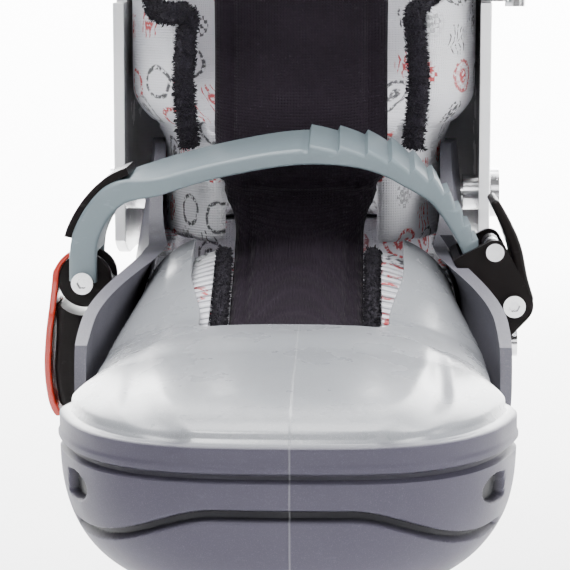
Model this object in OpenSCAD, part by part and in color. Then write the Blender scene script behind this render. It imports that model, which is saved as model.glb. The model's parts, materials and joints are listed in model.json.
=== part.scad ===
// Child's size-adjustable hard-shell ice skate, left foot.
// Millimetres, +Z up, toe towards -Y, wearer's outer side at +X.
// The origin is the middle of the blade's flat running edge.

/* [Boot shell] */
// Widest half-width of the toe shell
toe_w = 50.3; // [49.5:0.1:51]
// Distance from the origin to the toe's tip
toe_len = 124; // [122:0.5:126]
// Distance from the origin to the back of the heel
heel_len = 124; // [122:0.5:128]
// Height of the boot's underside above the ice
sole_z = 60; // [59:0.5:61]
// Thickness of the moulded shell walls
wall = 3; // [2.6:0.1:3.2]
// Farthest the toe slides forward for a larger foot
size_travel = 20; // [10:1:20]

/* [Blade] */
// Thickness of the steel blade
blade_t = 3; // [2.5:0.1:3.2]
// Length of the blade's flat running edge
blade_flat = 190; // [170:1:200]
// Height of the steel blade
blade_h = 34; // [32:0.5:36]

/* [Straps and buckles] */
// Half the distance between a strap's two hinge pins
pin_x = 55; // [54.8:0.1:55.5]
// Width of the toothed straps
strap_w = 22; // [21:0.5:23]
// Diameter of the hinge pins
pin_d = 4; // [3.6:0.1:4.2]
// Radial running clearance of a pin in its bore
fit = 0.05; // [0.03:0.01:0.1]

/* [Cuff] */
// Half-width of the ankle cuff
cuff_w = 52; // [51.5:0.1:52.5]
// Height of the cuff's top edge at the back
cuff_top = 224; // [220:1:230]

/* [Hidden] */

silver = [0.62, 0.63, 0.66];
dark_silver = [0.47, 0.46, 0.52];
strap_grey = [0.55, 0.6, 0.63];
white = [0.9, 0.9, 0.92];
black = [0.1, 0.09, 0.1];
red = [0.75, 0.12, 0.08];
steel = [0.78, 0.79, 0.8];

round_fn = 40;
mid_z = sole_z + 40;          // level of the shell's greatest width
toe_floor_z = sole_z + 4;     // underside of the toe shell, which lies on the rear shell's floor
fan_y = -34;                  // where the toe's ribs stop being parallel and fan out
heel_y = 74;                  // centre of the heel's round end
pin_y = 6;                    // instep strap's station
strap_z = 118;                // height of the instep strap's hinge pin
cuff_pivot = [0, 62, 135];    // ankle axis, along X
gap = 0.3;                    // space between pieces that move past each other
rivet_d = 3.6;                // shank of the bracket and buckle rivets
rivet_head_d = 7;
bolt_d = 5;                   // holder bolts and blade screws
bolt_hole_d = 5.2;
pawl_pin_d = 3;
pivot_d = 6;                  // cuff pivot rivet
bush_d = 10;                  // spacer bush round the cuff pivot rivet
ring_round = 2.3;             // boxiness of the heel and of the ankle's outline
toe_round = 3.2;              // boxiness of the toe's outline

// ---------- general shapes ----------

function ramp(a, b, v) = let(t = min(1, max(0, (v - a) / (b - a)))) t * t * (3 - 2 * t);
function lerp(a, b, t) = a + (b - a) * t;

// A smooth curve through points p, with n steps between neighbours.
function curve_point(p, i, t) =
  let(a = p[max(0, i - 1)], b = p[i], c = p[i + 1], d = p[min(len(p) - 1, i + 2)])
  0.5 * (2 * b + (c - a) * t + (2 * a - 5 * b + 4 * c - d) * t * t + (3 * b - a - 3 * c + d) * t * t * t);
function curve(p, n) =
  [for (i = [0:len(p) - 2]) for (k = [0:n - 1]) curve_point(p, i, k / n), p[len(p) - 1]];

// The left-hand unit normal of a 2-D path at point i.
function normal(p, i) =
  let(d = p[min(len(p) - 1, i + 1)] - p[max(0, i - 1)]) [-d.y, d.x] / norm(d);
// The closed outline of a strip that runs `up` above and `down` below a 2-D path.
function strip(p, up, down) =
  concat([for (i = [0:len(p) - 1]) p[i] + up * normal(p, i)],
         [for (i = [len(p) - 1:-1:0]) p[i] - down * normal(p, i)]);

// A closed solid between two grids of points of the same size.
// The last row's rim is left out where the grid's two halves meet there.
module skin(outer, inner, meets = false) {
  rows = len(outer);
  cols = len(outer[0]);
  points = concat([for (r = outer) each r], [for (r = inner) each r]);
  function id(i, j, s) = (s * rows + i) * cols + j;
  quads = concat(
    [for (i = [0:rows - 2]) for (j = [0:cols - 2])
      [id(i, j, 0), id(i, j + 1, 0), id(i + 1, j + 1, 0), id(i + 1, j, 0)]],
    [for (i = [0:rows - 2]) for (j = [0:cols - 2])
      [id(i + 1, j, 1), id(i + 1, j + 1, 1), id(i, j + 1, 1), id(i, j, 1)]],
    [for (j = [0:cols - 2]) [id(0, j, 1), id(0, j + 1, 1), id(0, j + 1, 0), id(0, j, 0)]],
    meets ? [] : [for (j = [0:cols - 2])
      [id(rows - 1, j, 0), id(rows - 1, j + 1, 0), id(rows - 1, j + 1, 1), id(rows - 1, j, 1)]],
    [for (i = [0:rows - 2]) [id(i, 0, 0), id(i + 1, 0, 0), id(i + 1, 0, 1), id(i, 0, 1)]],
    [for (i = [0:rows - 2])
      [id(i, cols - 1, 1), id(i + 1, cols - 1, 1), id(i + 1, cols - 1, 0), id(i, cols - 1, 0)]]);
  triangles = [for (f = quads) each [[f[0], f[1], f[2]], [f[0], f[2], f[3]]]];
  function apart(a, b) = norm(points[a] - points[b]) > 0.00001;
  polyhedron(points,
    [for (t = triangles) if (apart(t[0], t[1]) && apart(t[1], t[2]) && apart(t[0], t[2])) t]);
}

// A cylinder along X or Y, centred on p.
module rod_x(p, d, h) {
  translate(p) rotate([0, 90, 0]) cylinder(d = d, h = h, center = true, $fn = round_fn);
}
module rod_y(p, d, h) {
  translate(p) rotate([90, 0, 0]) cylinder(d = d, h = h, center = true, $fn = round_fn);
}
// A 2-D outline in X and Z, made solid from y0 to y1.
module slab(y0, y1) {
  translate([0, y1, 0]) rotate([90, 0, 0]) linear_extrude(height = y1 - y0) children();
}

// ---------- hull shapes of the two shells ----------

// A rib is [spine y, contour x, contour y, ridge z, cut, upper fullness, lower fullness]: it runs
// from the floor's centre line out to the contour at mid_z and up again, and its top edge lies at
// the angle `cut`. Fullness 2 is an ellipse, and more is boxier.
function rib_point(rib, side, a, floor_z, dip_z) =
  let(n = a > 0 ? rib[5] : rib[6], c = pow(cos(a), 2 / n), s = pow(abs(sin(a)), 2 / n),
      z = a > 0 ? mid_z + (rib[3] - mid_z) * s : mid_z - (mid_z - dip_z) * s)
  [side * c * rib[1], rib[0] + c * (rib[2] - rib[0]), max(z, floor_z)];
function rib_row(rib, floor_z, dip_z, m) =
  [for (j = [-m:m])
    let(k = abs(j) / m, a = -90 + (rib[4] + 90) * k)
    rib_point(rib, sign(j), a, floor_z, dip_z)];

// Toe shell, inset by t from its outer surface.
toe_back = 8;
// The plan already narrows where the toe is widest, so its sides aim wider than toe_w
toe_flare = 1.0615;
function toe_half(y) = lerp(lerp(41.6, 47, ramp(4, -32, y)), toe_w * toe_flare, ramp(-62, -86, y));
function hood_z(y) = 113 + 19 * ramp(-46, 16, y);
function hood_round(y) = lerp(2, 3, ramp(-40, 0, y));
function toe_plan(y, t) =
  let(k = (fan_y - y) / (toe_len + fan_y))
  (toe_half(y) - t) * pow(max(0, 1 - pow(k, toe_round)), 1 / toe_round);
throat_side = 27;
throat_front = 14;
function throat_reach(f) =
  pow(pow(abs(cos(f)) / 23, 4) + pow(abs(sin(f)) / throat_front, 4), -1 / 4);
function toe_rib_side(y, t) =
  let(w = toe_half(y) - t, e = lerp(23, throat_side, ramp(fan_y, -8, y)))
  [y, w, y, hood_z(y) - t, acos(pow(e / w, hood_round(y) / 2)), hood_round(y), 2];
// The lower section grows fuller where the toe comes out of the rear shell
function toe_low(y, k) = 2 + 1.4 * k * k + 1.05 * ramp(-64, -84, y);
function toe_rib_fan(k, t) =
  let(y = fan_y - (toe_len + fan_y) * sin(90 * k), x = toe_plan(y, t),
      yt = fan_y + (y - fan_y) * (1 - t / (toe_len + fan_y)), f = atan2(fan_y - yt, x))
  [fan_y, x, yt, hood_z(fan_y) - t,
   acos(pow(throat_reach(f) / norm([x, fan_y - yt]), hood_round(fan_y) / 2)),
   hood_round(fan_y), toe_low(y, k)];
function toe_ribs(t, back, sides, fans) =
  concat([for (i = [0:sides - 1]) toe_rib_side(lerp(back, fan_y, i / sides), t)],
         [for (i = [0:fans]) toe_rib_fan(i / fans, t)]);
function toe_grid(t, back = toe_back, m = 12) =
  [for (r = toe_ribs(t, back, 6, 14)) rib_row(r, toe_floor_z + t, sole_z + t, m)];

// Rear shell, inset by t from its outer surface.
rear_front = -73;
function rear_half(y) =
  lerp(lerp(50.4, 52.4, ramp(-74, -40, y)), 45.8, ramp(-36, 2, y));
function rear_ridge(y) = 134 + 107 * ramp(14, 66, y);
function rear_low(y) = 2 + 0.6 * ramp(-36, -70, y);
function rear_edge(y) =
  lerp(lerp(101.5, 125, ramp(-78, 8, y)), lerp(150, 140, ramp(64, 96, y)), ramp(14, 50, y));
function rear_round(y) = lerp(3.4, 2, ramp(10, 50, y));
function rear_rib(spine, x, y, t) =
  let(h = rear_ridge(spine) - t, e = rear_edge(y), n = rear_round(spine))
  [spine, x, y, h, asin(pow((e - mid_z) / (h - mid_z), n / 2)), n, rear_low(spine)];
function rear_thick(y) = lerp(1.4, wall, ramp(rear_front, -40, y));
function rear_ribs(t, sides, fans) =
  concat([for (i = [0:sides - 1])
            let(y = lerp(rear_front, heel_y, i / sides))
              rear_rib(y, rear_half(y) - min(t, t / wall * rear_thick(y)), y, t)],
         [for (i = [0:fans])
            let(a = 90 * i / fans, n = ring_round, x = (rear_half(heel_y) - t) * pow(cos(a), 2 / n),
                y = heel_y + (heel_len - heel_y - t) * pow(sin(a), 2 / n))
            rear_rib(heel_y, x, y, t)]);
function rear_grid(t, m = 10) =
  [for (r = rear_ribs(t, 14, 10)) rib_row(r, sole_z + t, sole_z - 4 + t, m)];

// ---------- shells ----------

bolt_x = 11;
bolt_front_y = -58;
bolt_rear_y = [62, 77];
knob_y = -26;

// the rear shell's side walls start this far forward, at the floor and at the top
wall_foot_z = sole_z + wall + 0.2;
wall_foot_y = -55;
wall_head_z = 112;
wall_head_y = -46;
module rear_shell() color(dark_silver) {
  difference() {
    skin(rear_grid(0), rear_grid(wall), true);
    for (x = [-bolt_x, bolt_x]) for (y = bolt_rear_y)
      translate([x, y, sole_z - 1]) cylinder(d = bolt_hole_d, h = 8, $fn = round_fn);
    for (x = [-bolt_x, bolt_x]) translate([x, bolt_front_y, sole_z - 1])
      cylinder(d = bolt_hole_d, h = 8, $fn = round_fn);
    translate([0, knob_y, sole_z - 1]) cylinder(d = 6.4, h = 8, $fn = round_fn);
    rod_x(cuff_pivot, 6.2, 130);
    // rivets of the strap's bracket and of the ratchet's base
    for (s = [-1, 1]) {
      rod_x([-45, pin_y + s * 5, strap_z - 17.5], rivet_d, 20);
      rod_x([45, pin_y + s * 5, strap_z - 16], rivet_d, 20);
    }
    at_instep() in_buckle(pin_x) translate([-24, -15, floor_n - 2.3]) cube([34, 30, 26]);
    // the side walls' front edge leans back above the floor
    translate([-60, 0, 0]) rotate([90, 0, 90]) linear_extrude(height = 120)
      polygon([[-90, wall_foot_z], [wall_foot_y, wall_foot_z], [wall_head_y, wall_head_z],
        [-90, wall_head_z]]);
  }
}

module toe_shell() color(silver) {
  difference() {
    skin(toe_grid(0), toe_grid(wall), true);
    for (x = [-bolt_x, bolt_x]) hull() for (s = [0, size_travel + 0.5])
      translate([x, bolt_front_y + s, toe_floor_z - 1]) cylinder(d = 6, h = 8, $fn = 24);
    hull() for (s = [-0.5, size_travel + 0.5])
      translate([0, knob_y + s, toe_floor_z - 1]) cylinder(d = 7, h = 8, $fn = 24);
  }
}

// ---------- sole, holder and blade ----------

nut_h = 2.4;
bolt_head = 3.2;
toe_top_z = toe_floor_z + wall;      // inner floor of the toe shell
rear_top_z = sole_z + wall;          // inner floor of the rear shell

module at_bolts(front, rear) {
  for (x = [-bolt_x, bolt_x]) translate([x, bolt_front_y, front]) children();
  for (x = [-bolt_x, bolt_x]) for (y = bolt_rear_y) translate([x, y, rear]) children();
}

tower_h = 30;
web_t = 9;
web_low_z = blade_h - 12;
// depth of the cut-down middle of the blade
blade_notch = 12;
module blade_holder() color(white) {
  difference() {
    union() {
      // front and rear towers under their mounting flanges
      holder_tower(-65, 46, 46);
      holder_tower(78, 62, 44);
      // web that grips the blade
      translate([-web_t / 2, 0, 0]) rotate([90, 0, 90]) linear_extrude(height = web_t)
        polygon(strip(curve([[-112, web_low_z + 10], [-90, web_low_z + 7], [-40, web_low_z + 4],
          [10, web_low_z + 4], [60, web_low_z + 4], [100, web_low_z + 7], [118, web_low_z + 10]], 5), 5, 6));
    }
    translate([-blade_t / 2 - 0.05, -130, -1]) cube([blade_t + 0.1, 260, blade_h + 1.1]);
    for (y = screw_y) {
      rod_x([0, y, screw_z], 5.1, 40);
      // pockets for the screw heads and nuts in the towers' flanks
      for (s = [-1, 1]) rod_x([s * (web_t / 2 + 10.05), y, screw_z], 10.6, 20);
    }
    at_bolts(sole_z - 5, sole_z - 5) cylinder(d = bolt_hole_d, h = 8, $fn = round_fn);
    at_bolts(sole_z - 24, sole_z - 24) cylinder(d = 10, h = 20, $fn = round_fn);
  }
}
module holder_tower(y, top_len, top_w) {
  hull() {
    translate([-top_w / 2, y - top_len / 2, sole_z - 5]) cube([top_w, top_len, 4.8]);
    translate([-top_w / 2 + 5, y - top_len / 2 + 6, sole_z - 9]) cube([top_w - 10, top_len - 12, 4]);
  }
  hull() {
    translate([-top_w / 2 + 8, y - top_len / 2 + 8, sole_z - 9]) cube([top_w - 16, top_len - 16, 4]);
    translate([-web_t / 2, y - top_len / 2 + 8, web_low_z + 4]) cube([web_t, top_len - 16, 4]);
  }
}

screw_y = [-88, -52, 62, 94];
screw_z = web_low_z + 6;
blade_end = 30;
module blade() color(steel) {
  difference() {
    translate([-blade_t / 2, 0, 0]) rotate([90, 0, 90]) linear_extrude(height = blade_t) difference() {
      union() {
        translate([-blade_flat / 2, 0]) square([blade_flat, blade_h]);
        // upswept toe and blunt heel
        intersection() {
          translate([-blade_flat / 2 - blade_end, 0]) square([blade_end + 0.5, blade_h]);
          translate([-blade_flat / 2, 32]) circle(r = 32, $fn = 96);
        }
        intersection() {
          translate([blade_flat / 2 - 0.5, 0]) square([blade_end - 4, blade_h]);
          translate([blade_flat / 2, 28]) circle(r = 28, $fn = 96);
        }
      }
      // the middle of the blade is lower, where the holder's bridge passes over it
      translate([-36, blade_h - blade_notch]) square([84, blade_notch + 4]);
    }
    for (y = screw_y) rod_x([0, y, screw_z], 5.1, 20);
  }
}
module blade_screws() color(steel) {
  for (y = screw_y) {
    rod_x([1, y, screw_z], 5, web_t + 6);
    rod_x([-web_t / 2 - 1.6, y, screw_z], 8.5, 3);
  }
}
module blade_nuts() color(steel) {
  for (y = screw_y) difference() {
    translate([web_t / 2 + 2, y, screw_z]) rotate([0, 90, 0])
      cylinder(d = 9, h = 3.6, center = true, $fn = 6);
    rod_x([1, y, screw_z], 5, web_t + 8);
  }
}
module holder_bolts() color(steel) {
  at_bolts(sole_z - 4 - bolt_head, sole_z - 4 - bolt_head) cylinder(d = 9, h = bolt_head, $fn = round_fn);
  intersection() {
    at_bolts(sole_z - 5, sole_z - 5) cylinder(d = bolt_d, h = 20, $fn = round_fn);
    union() {
      translate([-20, -80, 0]) cube([40, 60, toe_top_z + gap + nut_h - 0.4]);
      translate([-20, 40, 0]) cube([40, 80, rear_top_z + nut_h - 0.4]);
    }
  }
}
module holder_nuts() color(steel) {
  difference() {
    at_bolts(toe_top_z + gap, rear_top_z + 0.05) cylinder(d = 10, h = nut_h, $fn = round_fn);
    at_bolts(sole_z, sole_z) cylinder(d = bolt_d, h = 20, $fn = round_fn);
  }
}
module clamp_plate() color(steel) {
  difference() {
    translate([-11, knob_y - 8, toe_top_z + gap]) cube([22, 16, nut_h]);
    translate([0, knob_y, toe_top_z - 1]) cylinder(d = 5 + 2 * fit, h = 6, $fn = round_fn);
  }
}
module size_knob() color(black) {
  translate([0, knob_y, sole_z - 10.4]) {
    difference() {
      cylinder(d = 24, h = 10, $fn = round_fn);
      for (a = [0:30:330]) rotate([0, 0, a]) translate([13.2, 0, -1]) cylinder(d = 4.6, h = 12, $fn = 24);
    }
    cylinder(d = 5, h = toe_top_z - sole_z + 12.6, $fn = round_fn);
  }
}

// ---------- liner, tongue and insole ----------

liner_t = 5;
liner_floor_z = toe_top_z + nut_h + 0.8;
toe_liner_in = wall + 1;
// The rib's cut is moved so that its top edge lies at half-width e.
function recut(r, e) =
  [r[0], r[1], r[2], r[3], acos(pow(min(0.98, e / norm([r[1], r[2] - r[0]])), r[5] / 2)), r[5], r[6]];
gusset_open = 21.5;
function gusset_grid(t, f) =
  [for (y = [7:-8:-33]) rib_row(recut(toe_rib_side(y, t), gusset_open), f, sole_z + t, 9)];
module liner_gusset() color(white)
  skin(gusset_grid(toe_liner_in, liner_floor_z), gusset_grid(toe_liner_in + 3, liner_floor_z + 2.4));

function liner_reach(f) = pow(pow(abs(cos(f)) / gusset_open, 4) + pow(abs(sin(f)) / 44, 4), -1 / 4);
function liner_toe_rib(k, t) =
  let(r = toe_rib_fan(k, t), f = atan2(r[0] - r[2], r[1]))
  [r[0] - 0.5, r[1], r[2] - 0.5, r[3],
   acos(pow(min(0.98, liner_reach(f) / norm([r[1], r[0] - r[2]])), r[5] / 2)), r[5], r[6]];
function liner_toe_grid(t, f) =
  [for (i = [0:10]) rib_row(liner_toe_rib(i / 10, t), f, sole_z + t, 9)];
module liner_toe() color(white)
  skin(liner_toe_grid(toe_liner_in, liner_floor_z),
    liner_toe_grid(toe_liner_in + liner_t, liner_floor_z + 2.4), true);

liner_boot_z = 122;
function boot_rib(spine, x, y, t) =
  let(h = rear_ridge(spine) - t, n = rear_round(spine), e = lerp(118, liner_boot_z, ramp(8, 30, y)))
  [spine, x, y, h, asin(pow((e - mid_z) / (h - mid_z), n / 2)), n, 2];
function boot_ribs(t) =
  concat([for (i = [0:5]) let(y = lerp(9, heel_y, i / 6)) boot_rib(y, rear_half(y) - t, y, t)],
         [for (i = [0:8])
            let(a = 90 * i / 8, x = (rear_half(heel_y) - t) * pow(cos(a), 2 / ring_round),
                y = heel_y + (heel_len - heel_y - t) * pow(sin(a), 2 / ring_round))
            boot_rib(heel_y, x, y, t)]);
function boot_grid(t, f) = [for (r = boot_ribs(t)) rib_row(r, f, sole_z - 4 + t, 8)];
module liner_boot() color(white)
  skin(boot_grid(wall + 1.2, liner_floor_z), boot_grid(wall + 1.2 + liner_t, liner_floor_z + 2.4), true);

// Horseshoe walls round the ankle: half-width w, reach back b, centred at y = 66.
ring_y = 66;
function ring_point(w, b, f, a, z) =
  let(n = ring_round, s = sin(a), c = cos(a), r = a > 0 ? b : f)
  [w * sign(c) * pow(abs(c), 2 / n), ring_y + r * sign(s) * pow(abs(s), 2 / n), z];
// Angles run from the front edge on the -X side, round the heel, to the +X side.
function ring_angle(a) = a > 180 ? a - 360 : a;
function ring_grid(w, b, f, zs, cut, n) =
  [for (z = zs) [for (i = [0:n])
    let(a = lerp(180 + cut, -cut, i / n), q = ring_angle(a))
    ring_point(w, b, f, q, z)]];
module liner_ankle() color(white)
  skin(ring_grid(39.5, 44, 44, [123.5, 134, 144, 154], 48, 24),
    ring_grid(35, 39, 39, [123.5, 134, 144, 154], 48, 24));
// The collar's rim sweeps up from its front corners to the back
function collar_high(y) = 187 + 44 * ramp(28, 66, y);
function collar_grid(w, b, f) =
  [for (k = [0:6]) [for (i = [0:28])
    let(a = lerp(180 + 50, -50, i / 28), q = ring_angle(a), p = ring_point(1, b, f, q, 0),
        z = lerp(156, collar_high(p.y), k / 6))
    [p.x * (w - 2 * ramp(166, 150, z)), p.y, z]]];
module liner_collar() color(white)
  skin(collar_grid(48.5, 58, 48), collar_grid(42, 51, 41));

tongue_t = 7;
tongue_low = [[-75, 104], [-60, 105.5], [-34, 109], [-10, 120], [6, 128.5], [14, 136.5]];
tongue_high = [[19.5, 146], [22, 160], [22, 185], [20, 212], [16, 238]];
function tongue_grid(path, half, t, bow) =
  [for (i = [0:len(path) - 1]) let(q = path[i] - t * normal(path, i))
    [for (x = [-half:half / 4:half]) let(p = q - bow * x * x * normal(path, i)) [x, p.x, p.y]]];
module tongue_lower() color([0.15, 0.12, 0.16])
  skin(tongue_grid(curve(tongue_low, 4), 17, 0, 0.008),
    tongue_grid(curve(tongue_low, 4), 17, tongue_t, 0.008));
module tongue_upper() color([0.15, 0.12, 0.16])
  skin(tongue_grid(curve(tongue_high, 4), 24, 0, 0.006),
    tongue_grid(curve(tongue_high, 4), 24, tongue_t, 0.006));
module fleece_trim() color(black)
  for (s = [-1, 1]) translate([s * 29, 25, 152]) cylinder(d = 8, h = 34, $fn = round_fn);
module fleece_edge() color(black)
  for (s = [-1, 1]) translate([s * 19.4 - 1.8, 0, 0]) rotate([90, 0, 90]) linear_extrude(height = 3.6)
    polygon(strip(curve([[-46, 105.5], [-34, 107], [-10, 118], [4, 125.5]], 4), 2.5, 2.5));

module insole() color([0.25, 0.24, 0.26])
  translate([0, 0, liner_floor_z + 4.8]) linear_extrude(height = 3) polygon(concat(
    [for (a = [0:15:180]) [21 * cos(a), 76 + 24 * sin(a)]],
    [for (a = [180:15:360]) [21 * cos(a), -66 + 28 * sin(a)]]));

// ---------- cuff ----------

cuff_t = 3;
cuff_cut = 13.5;              // where the cuff's front edges lie, as an angle
function cuff_low(y) = 118 + 8 * ramp(60, 20, y);
function cuff_high(y) = lerp(217, cuff_top, ramp(60, 110, y));
step_z = 188.5;                 // above this the cuff's front edge steps back to step_y
step_y = 53.2;
function cuff_grid(w, b, f) =
  [for (k = [0:8]) [for (i = [0:32])
    let(a = lerp(180 + cuff_cut, -cuff_cut, i / 32), q = ring_angle(a), p = ring_point(w, b, f, q, 0))
    [p.x, p.y, lerp(cuff_low(p.y), cuff_high(p.y), k / 8)]]];
module cuff() color(white)
  difference() {
    skin(cuff_grid(cuff_w, 64, 120), cuff_grid(cuff_w - cuff_t, 61, 120));
    rod_x(cuff_pivot, bush_d + 2 * fit, 130);
    translate([-60, 0, step_z]) cube([120, step_y, 40]);
  }
pivot_in = 40;
module cuff_rivets() color(steel)
  for (s = [-1, 1]) {
    rod_x([s * (pivot_in + cuff_w + 1) / 2, cuff_pivot.y, cuff_pivot.z], pivot_d, cuff_w + 1 - pivot_in);
    rod_x([s * (cuff_w + 1.6), cuff_pivot.y, cuff_pivot.z], 14, 2.4);
  }
// Spacer bushes on the rivets, between the shell's ears and the rivet heads
module cuff_washers() color(steel)
  difference() {
    for (s = [-1, 1])
      rod_x([s * (44.8 + cuff_w + 0.3) / 2, cuff_pivot.y, cuff_pivot.z], bush_d, cuff_w + 0.3 - 44.8);
    rod_x(cuff_pivot, pivot_d, 130);
  }

// ---------- strap and buckle set ----------
// Drawn in its own frame: the strap's two pins are along Y, at x = -half and x = half, and
// the strap arches over them towards +Z.

buckle_drop = 5;              // how far the ratchet's pin lies below the strap's hinge pin
buckle_tilt = 55.5;           // slope of the buckle's floor
floor_n = -4.3;               // the floor's face, below the ratchet pin
pawl_at = [-14, 3.6];         // pawl pin, along and above the floor, from the ratchet pin
cheek_in = 12;
cheek_t = 2;
tooth_count = 10;
tooth_h = 1.5;
pin_head_d = 5.6;
pin_head_h = 2.6;

module in_buckle(half) {
  translate([half, 0, -buckle_drop]) rotate([0, buckle_tilt, 0]) children();
}
function strap_line(half) =
  let(k = half / 55)
  curve([[-55 * k, 0], [-54 * k, 12], [-47 * k, 22.5], [-36 * k, 27.5], [-18 * k, 32.5], [2 * k, 35.5],
    [20 * k, 33.5], [33 * k, 25.5], [40.6 * k, 14.5], [half - 10.3, 6.3]], 8);
function strap_half(i, n) = lerp(3.2, 1.8, ramp(0.05, 0.45, i / n));
function strap_tooth(i, n) =
  let(k = (i / n - 0.56) / 0.42 * tooth_count) k < 0 || k > tooth_count ? 0 : tooth_h * (1 - (k - floor(k)));
module strap(half) {
  p = strap_line(half);
  n = len(p) - 1;
  difference() {
    union() {
      slab(-strap_w / 2, strap_w / 2) polygon(concat(
        [for (i = [0:n]) p[i] + (strap_half(i, n) + strap_tooth(i, n)) * normal(p, i)],
        [for (i = [n:-1:0]) p[i] - strap_half(i, n) * normal(p, i)]));
      rod_y([-half, 0, 0], 9.4, strap_w);
    }
    rod_y([-half, 0, 0], 16.8, 2 * 7.9);
    rod_y([-half, 0, 0], pin_d + 2 * fit, strap_w + 2);
  }
}
module end_cap(half) {
  p = strap_line(half);
  slab(-strap_w / 2 + 1, strap_w / 2 - 1) polygon(concat(
    [for (i = [7:20]) p[i] + lerp(5.6, 4.4, (i - 7) / 13) * normal(p, i)],
    [for (i = [20:-1:7]) p[i] + (strap_half(i, len(p) - 1) + 0.02) * normal(p, i)]));
}
// A socket-head pin through a stack that is `grip` wide
module hinge_pin(at, grip) {
  difference() {
    union() {
      rod_y(at, pin_d, grip);
      for (s = [-1, 1]) rod_y(at + [0, s * (grip / 2 + pin_head_h / 2), 0], pin_head_d, pin_head_h);
    }
    translate(at - [0, grip / 2 + 1.2, 0]) rotate([90, 0, 0]) cylinder(d = 2.9, h = 3, $fn = 6);
  }
}
// Sheet-metal bracket under the strap's hinge, on a wall at x = -wall_x
module hinge_bracket(half, wall_x, low) {
  difference() {
    union() {
      translate([-wall_x - 2, -7.6, low]) cube([2, 15.2, -2 - low]);
      for (s = [-1, 1]) translate([0, s * 3.2, 0]) slab(-1, 1) hull() {
        translate([-half, 0]) circle(d = 7.6, $fn = 32);
        translate([-wall_x - 1.5, -9]) square([1.4, 7]);
      }
    }
    rod_y([-half, 0, 0], pin_d, 30);
    bracket_holes(wall_x, low);
  }
}
module bracket_holes(wall_x, low) {
  for (s = [-1, 1]) rod_x([-wall_x, s * 5, low + 4.5], rivet_d, 20);
}
module bracket_rivet_pair(wall_x, low) {
  for (s = [-1, 1]) {
    rod_x([-wall_x + 0.15, s * 5, low + 4.5], rivet_d, 6.3);
    rod_x([-wall_x - 3, s * 5, low + 4.5], rivet_head_d, 2);
  }
}
module buckle_base(half, wall_x, low) {
  difference() {
    union() {
      in_buckle(half) {
        translate([-18, -cheek_in - cheek_t, floor_n - 2]) cube([24, 2 * (cheek_in + cheek_t), 2]);
        for (s = [-1, 1]) translate([0, s * (cheek_in + cheek_t / 2), 0])
          slab(-cheek_t / 2, cheek_t / 2) hull() {
            circle(r = 5, $fn = 32);
            translate(pawl_at) circle(r = 3, $fn = 32);
            translate([-18, floor_n - 1]) square([24, 1]);
          }
      }
      slab(-9, 9) polygon([[wall_x, low], [half - 0.6, low], [half, -13], [half - 2.4, -9],
        [half - 8, -3.6], [wall_x, min(-5.5, low + 16)]]);
    }
    in_buckle(half) {
      rod_y([0, 0, 0], pin_d, 40);
      rod_y([pawl_at.x, 0, pawl_at.y], pawl_pin_d, 40);
    }
    for (s = [-1, 1]) rod_x([half, s * 5, low + 4], rivet_d, 40);
  }
}
module buckle_rivet_pair(half, wall_x, low) {
  for (s = [-1, 1]) {
    rod_x([(wall_x - 3.3 + half) / 2, s * 5, low + 4], rivet_d, half - wall_x + 3.3);
    rod_x([half + 0.4, s * 5, low + 4], rivet_head_d, 2);
  }
}
lever_path = [[2.2, 3.4], [-4, 5.4], [-11, 8.3], [-18, 9.9], [-24.5, 10.6]];
module buckle_lever(half) {
  in_buckle(half) difference() {
    union() {
      slab(-11.6, 11.6) polygon(strip(curve(lever_path, 5), 1.5, 1.5));
      for (s = [-1, 1]) translate([0, s * 10.55, 0]) slab(-1.05, 1.05) {
        circle(d = 8, $fn = 32);
        polygon(strip(curve([[0.5, 0.6], [-4, 3.8], [-9, 6.8]], 4), 2.4, 2.4));
      }
    }
    rod_y([0, 0, 0], pin_d + 2 * fit, 40);
  }
}
module pawl_body(half) {
  in_buckle(half) difference() {
    slab(-9, 9) {
      translate(pawl_at) circle(r = 2.2, $fn = 32);
      polygon([[-14.9, 3], [-14.8, -0.6], [-13.2, 0.6], [-12.2, 3]]);
      polygon([[-13.2, 1.9], [-7.6, 1.6], [-7.4, 3.2], [-13, 5.4]]);
    }
    translate([-17, -3.1, 1]) cube([6.4, 6.2, 5.2]);
    translate([-15.2, -3.1, -2]) cube([4.4, 6.2, 8]);
    rod_y([pawl_at.x, 0, pawl_at.y], pawl_pin_d + 2 * fit, 30);
  }
}
module buckle_spring(half) {
  in_buckle(half) difference() {
    rod_y([pawl_at.x, 0, pawl_at.y], 4.2, 5.6);
    rod_y([pawl_at.x, 0, pawl_at.y], 3.1, 8);
  }
}
module buckle_pin(half) {
  in_buckle(half) hinge_pin([0, 0, 0], 2 * (cheek_in + cheek_t) + 0.1);
}
module pawl_axle(half) {
  in_buckle(half) {
    rod_y([pawl_at.x, 0, pawl_at.y], pawl_pin_d, 2 * (cheek_in + cheek_t) + 0.1);
    for (s = [-1, 1]) rod_y([pawl_at.x, s * (cheek_in + cheek_t + 0.55), pawl_at.y], 4.6, 1);
  }
}

// ---------- instep strap and its two fastenings ----------

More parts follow.
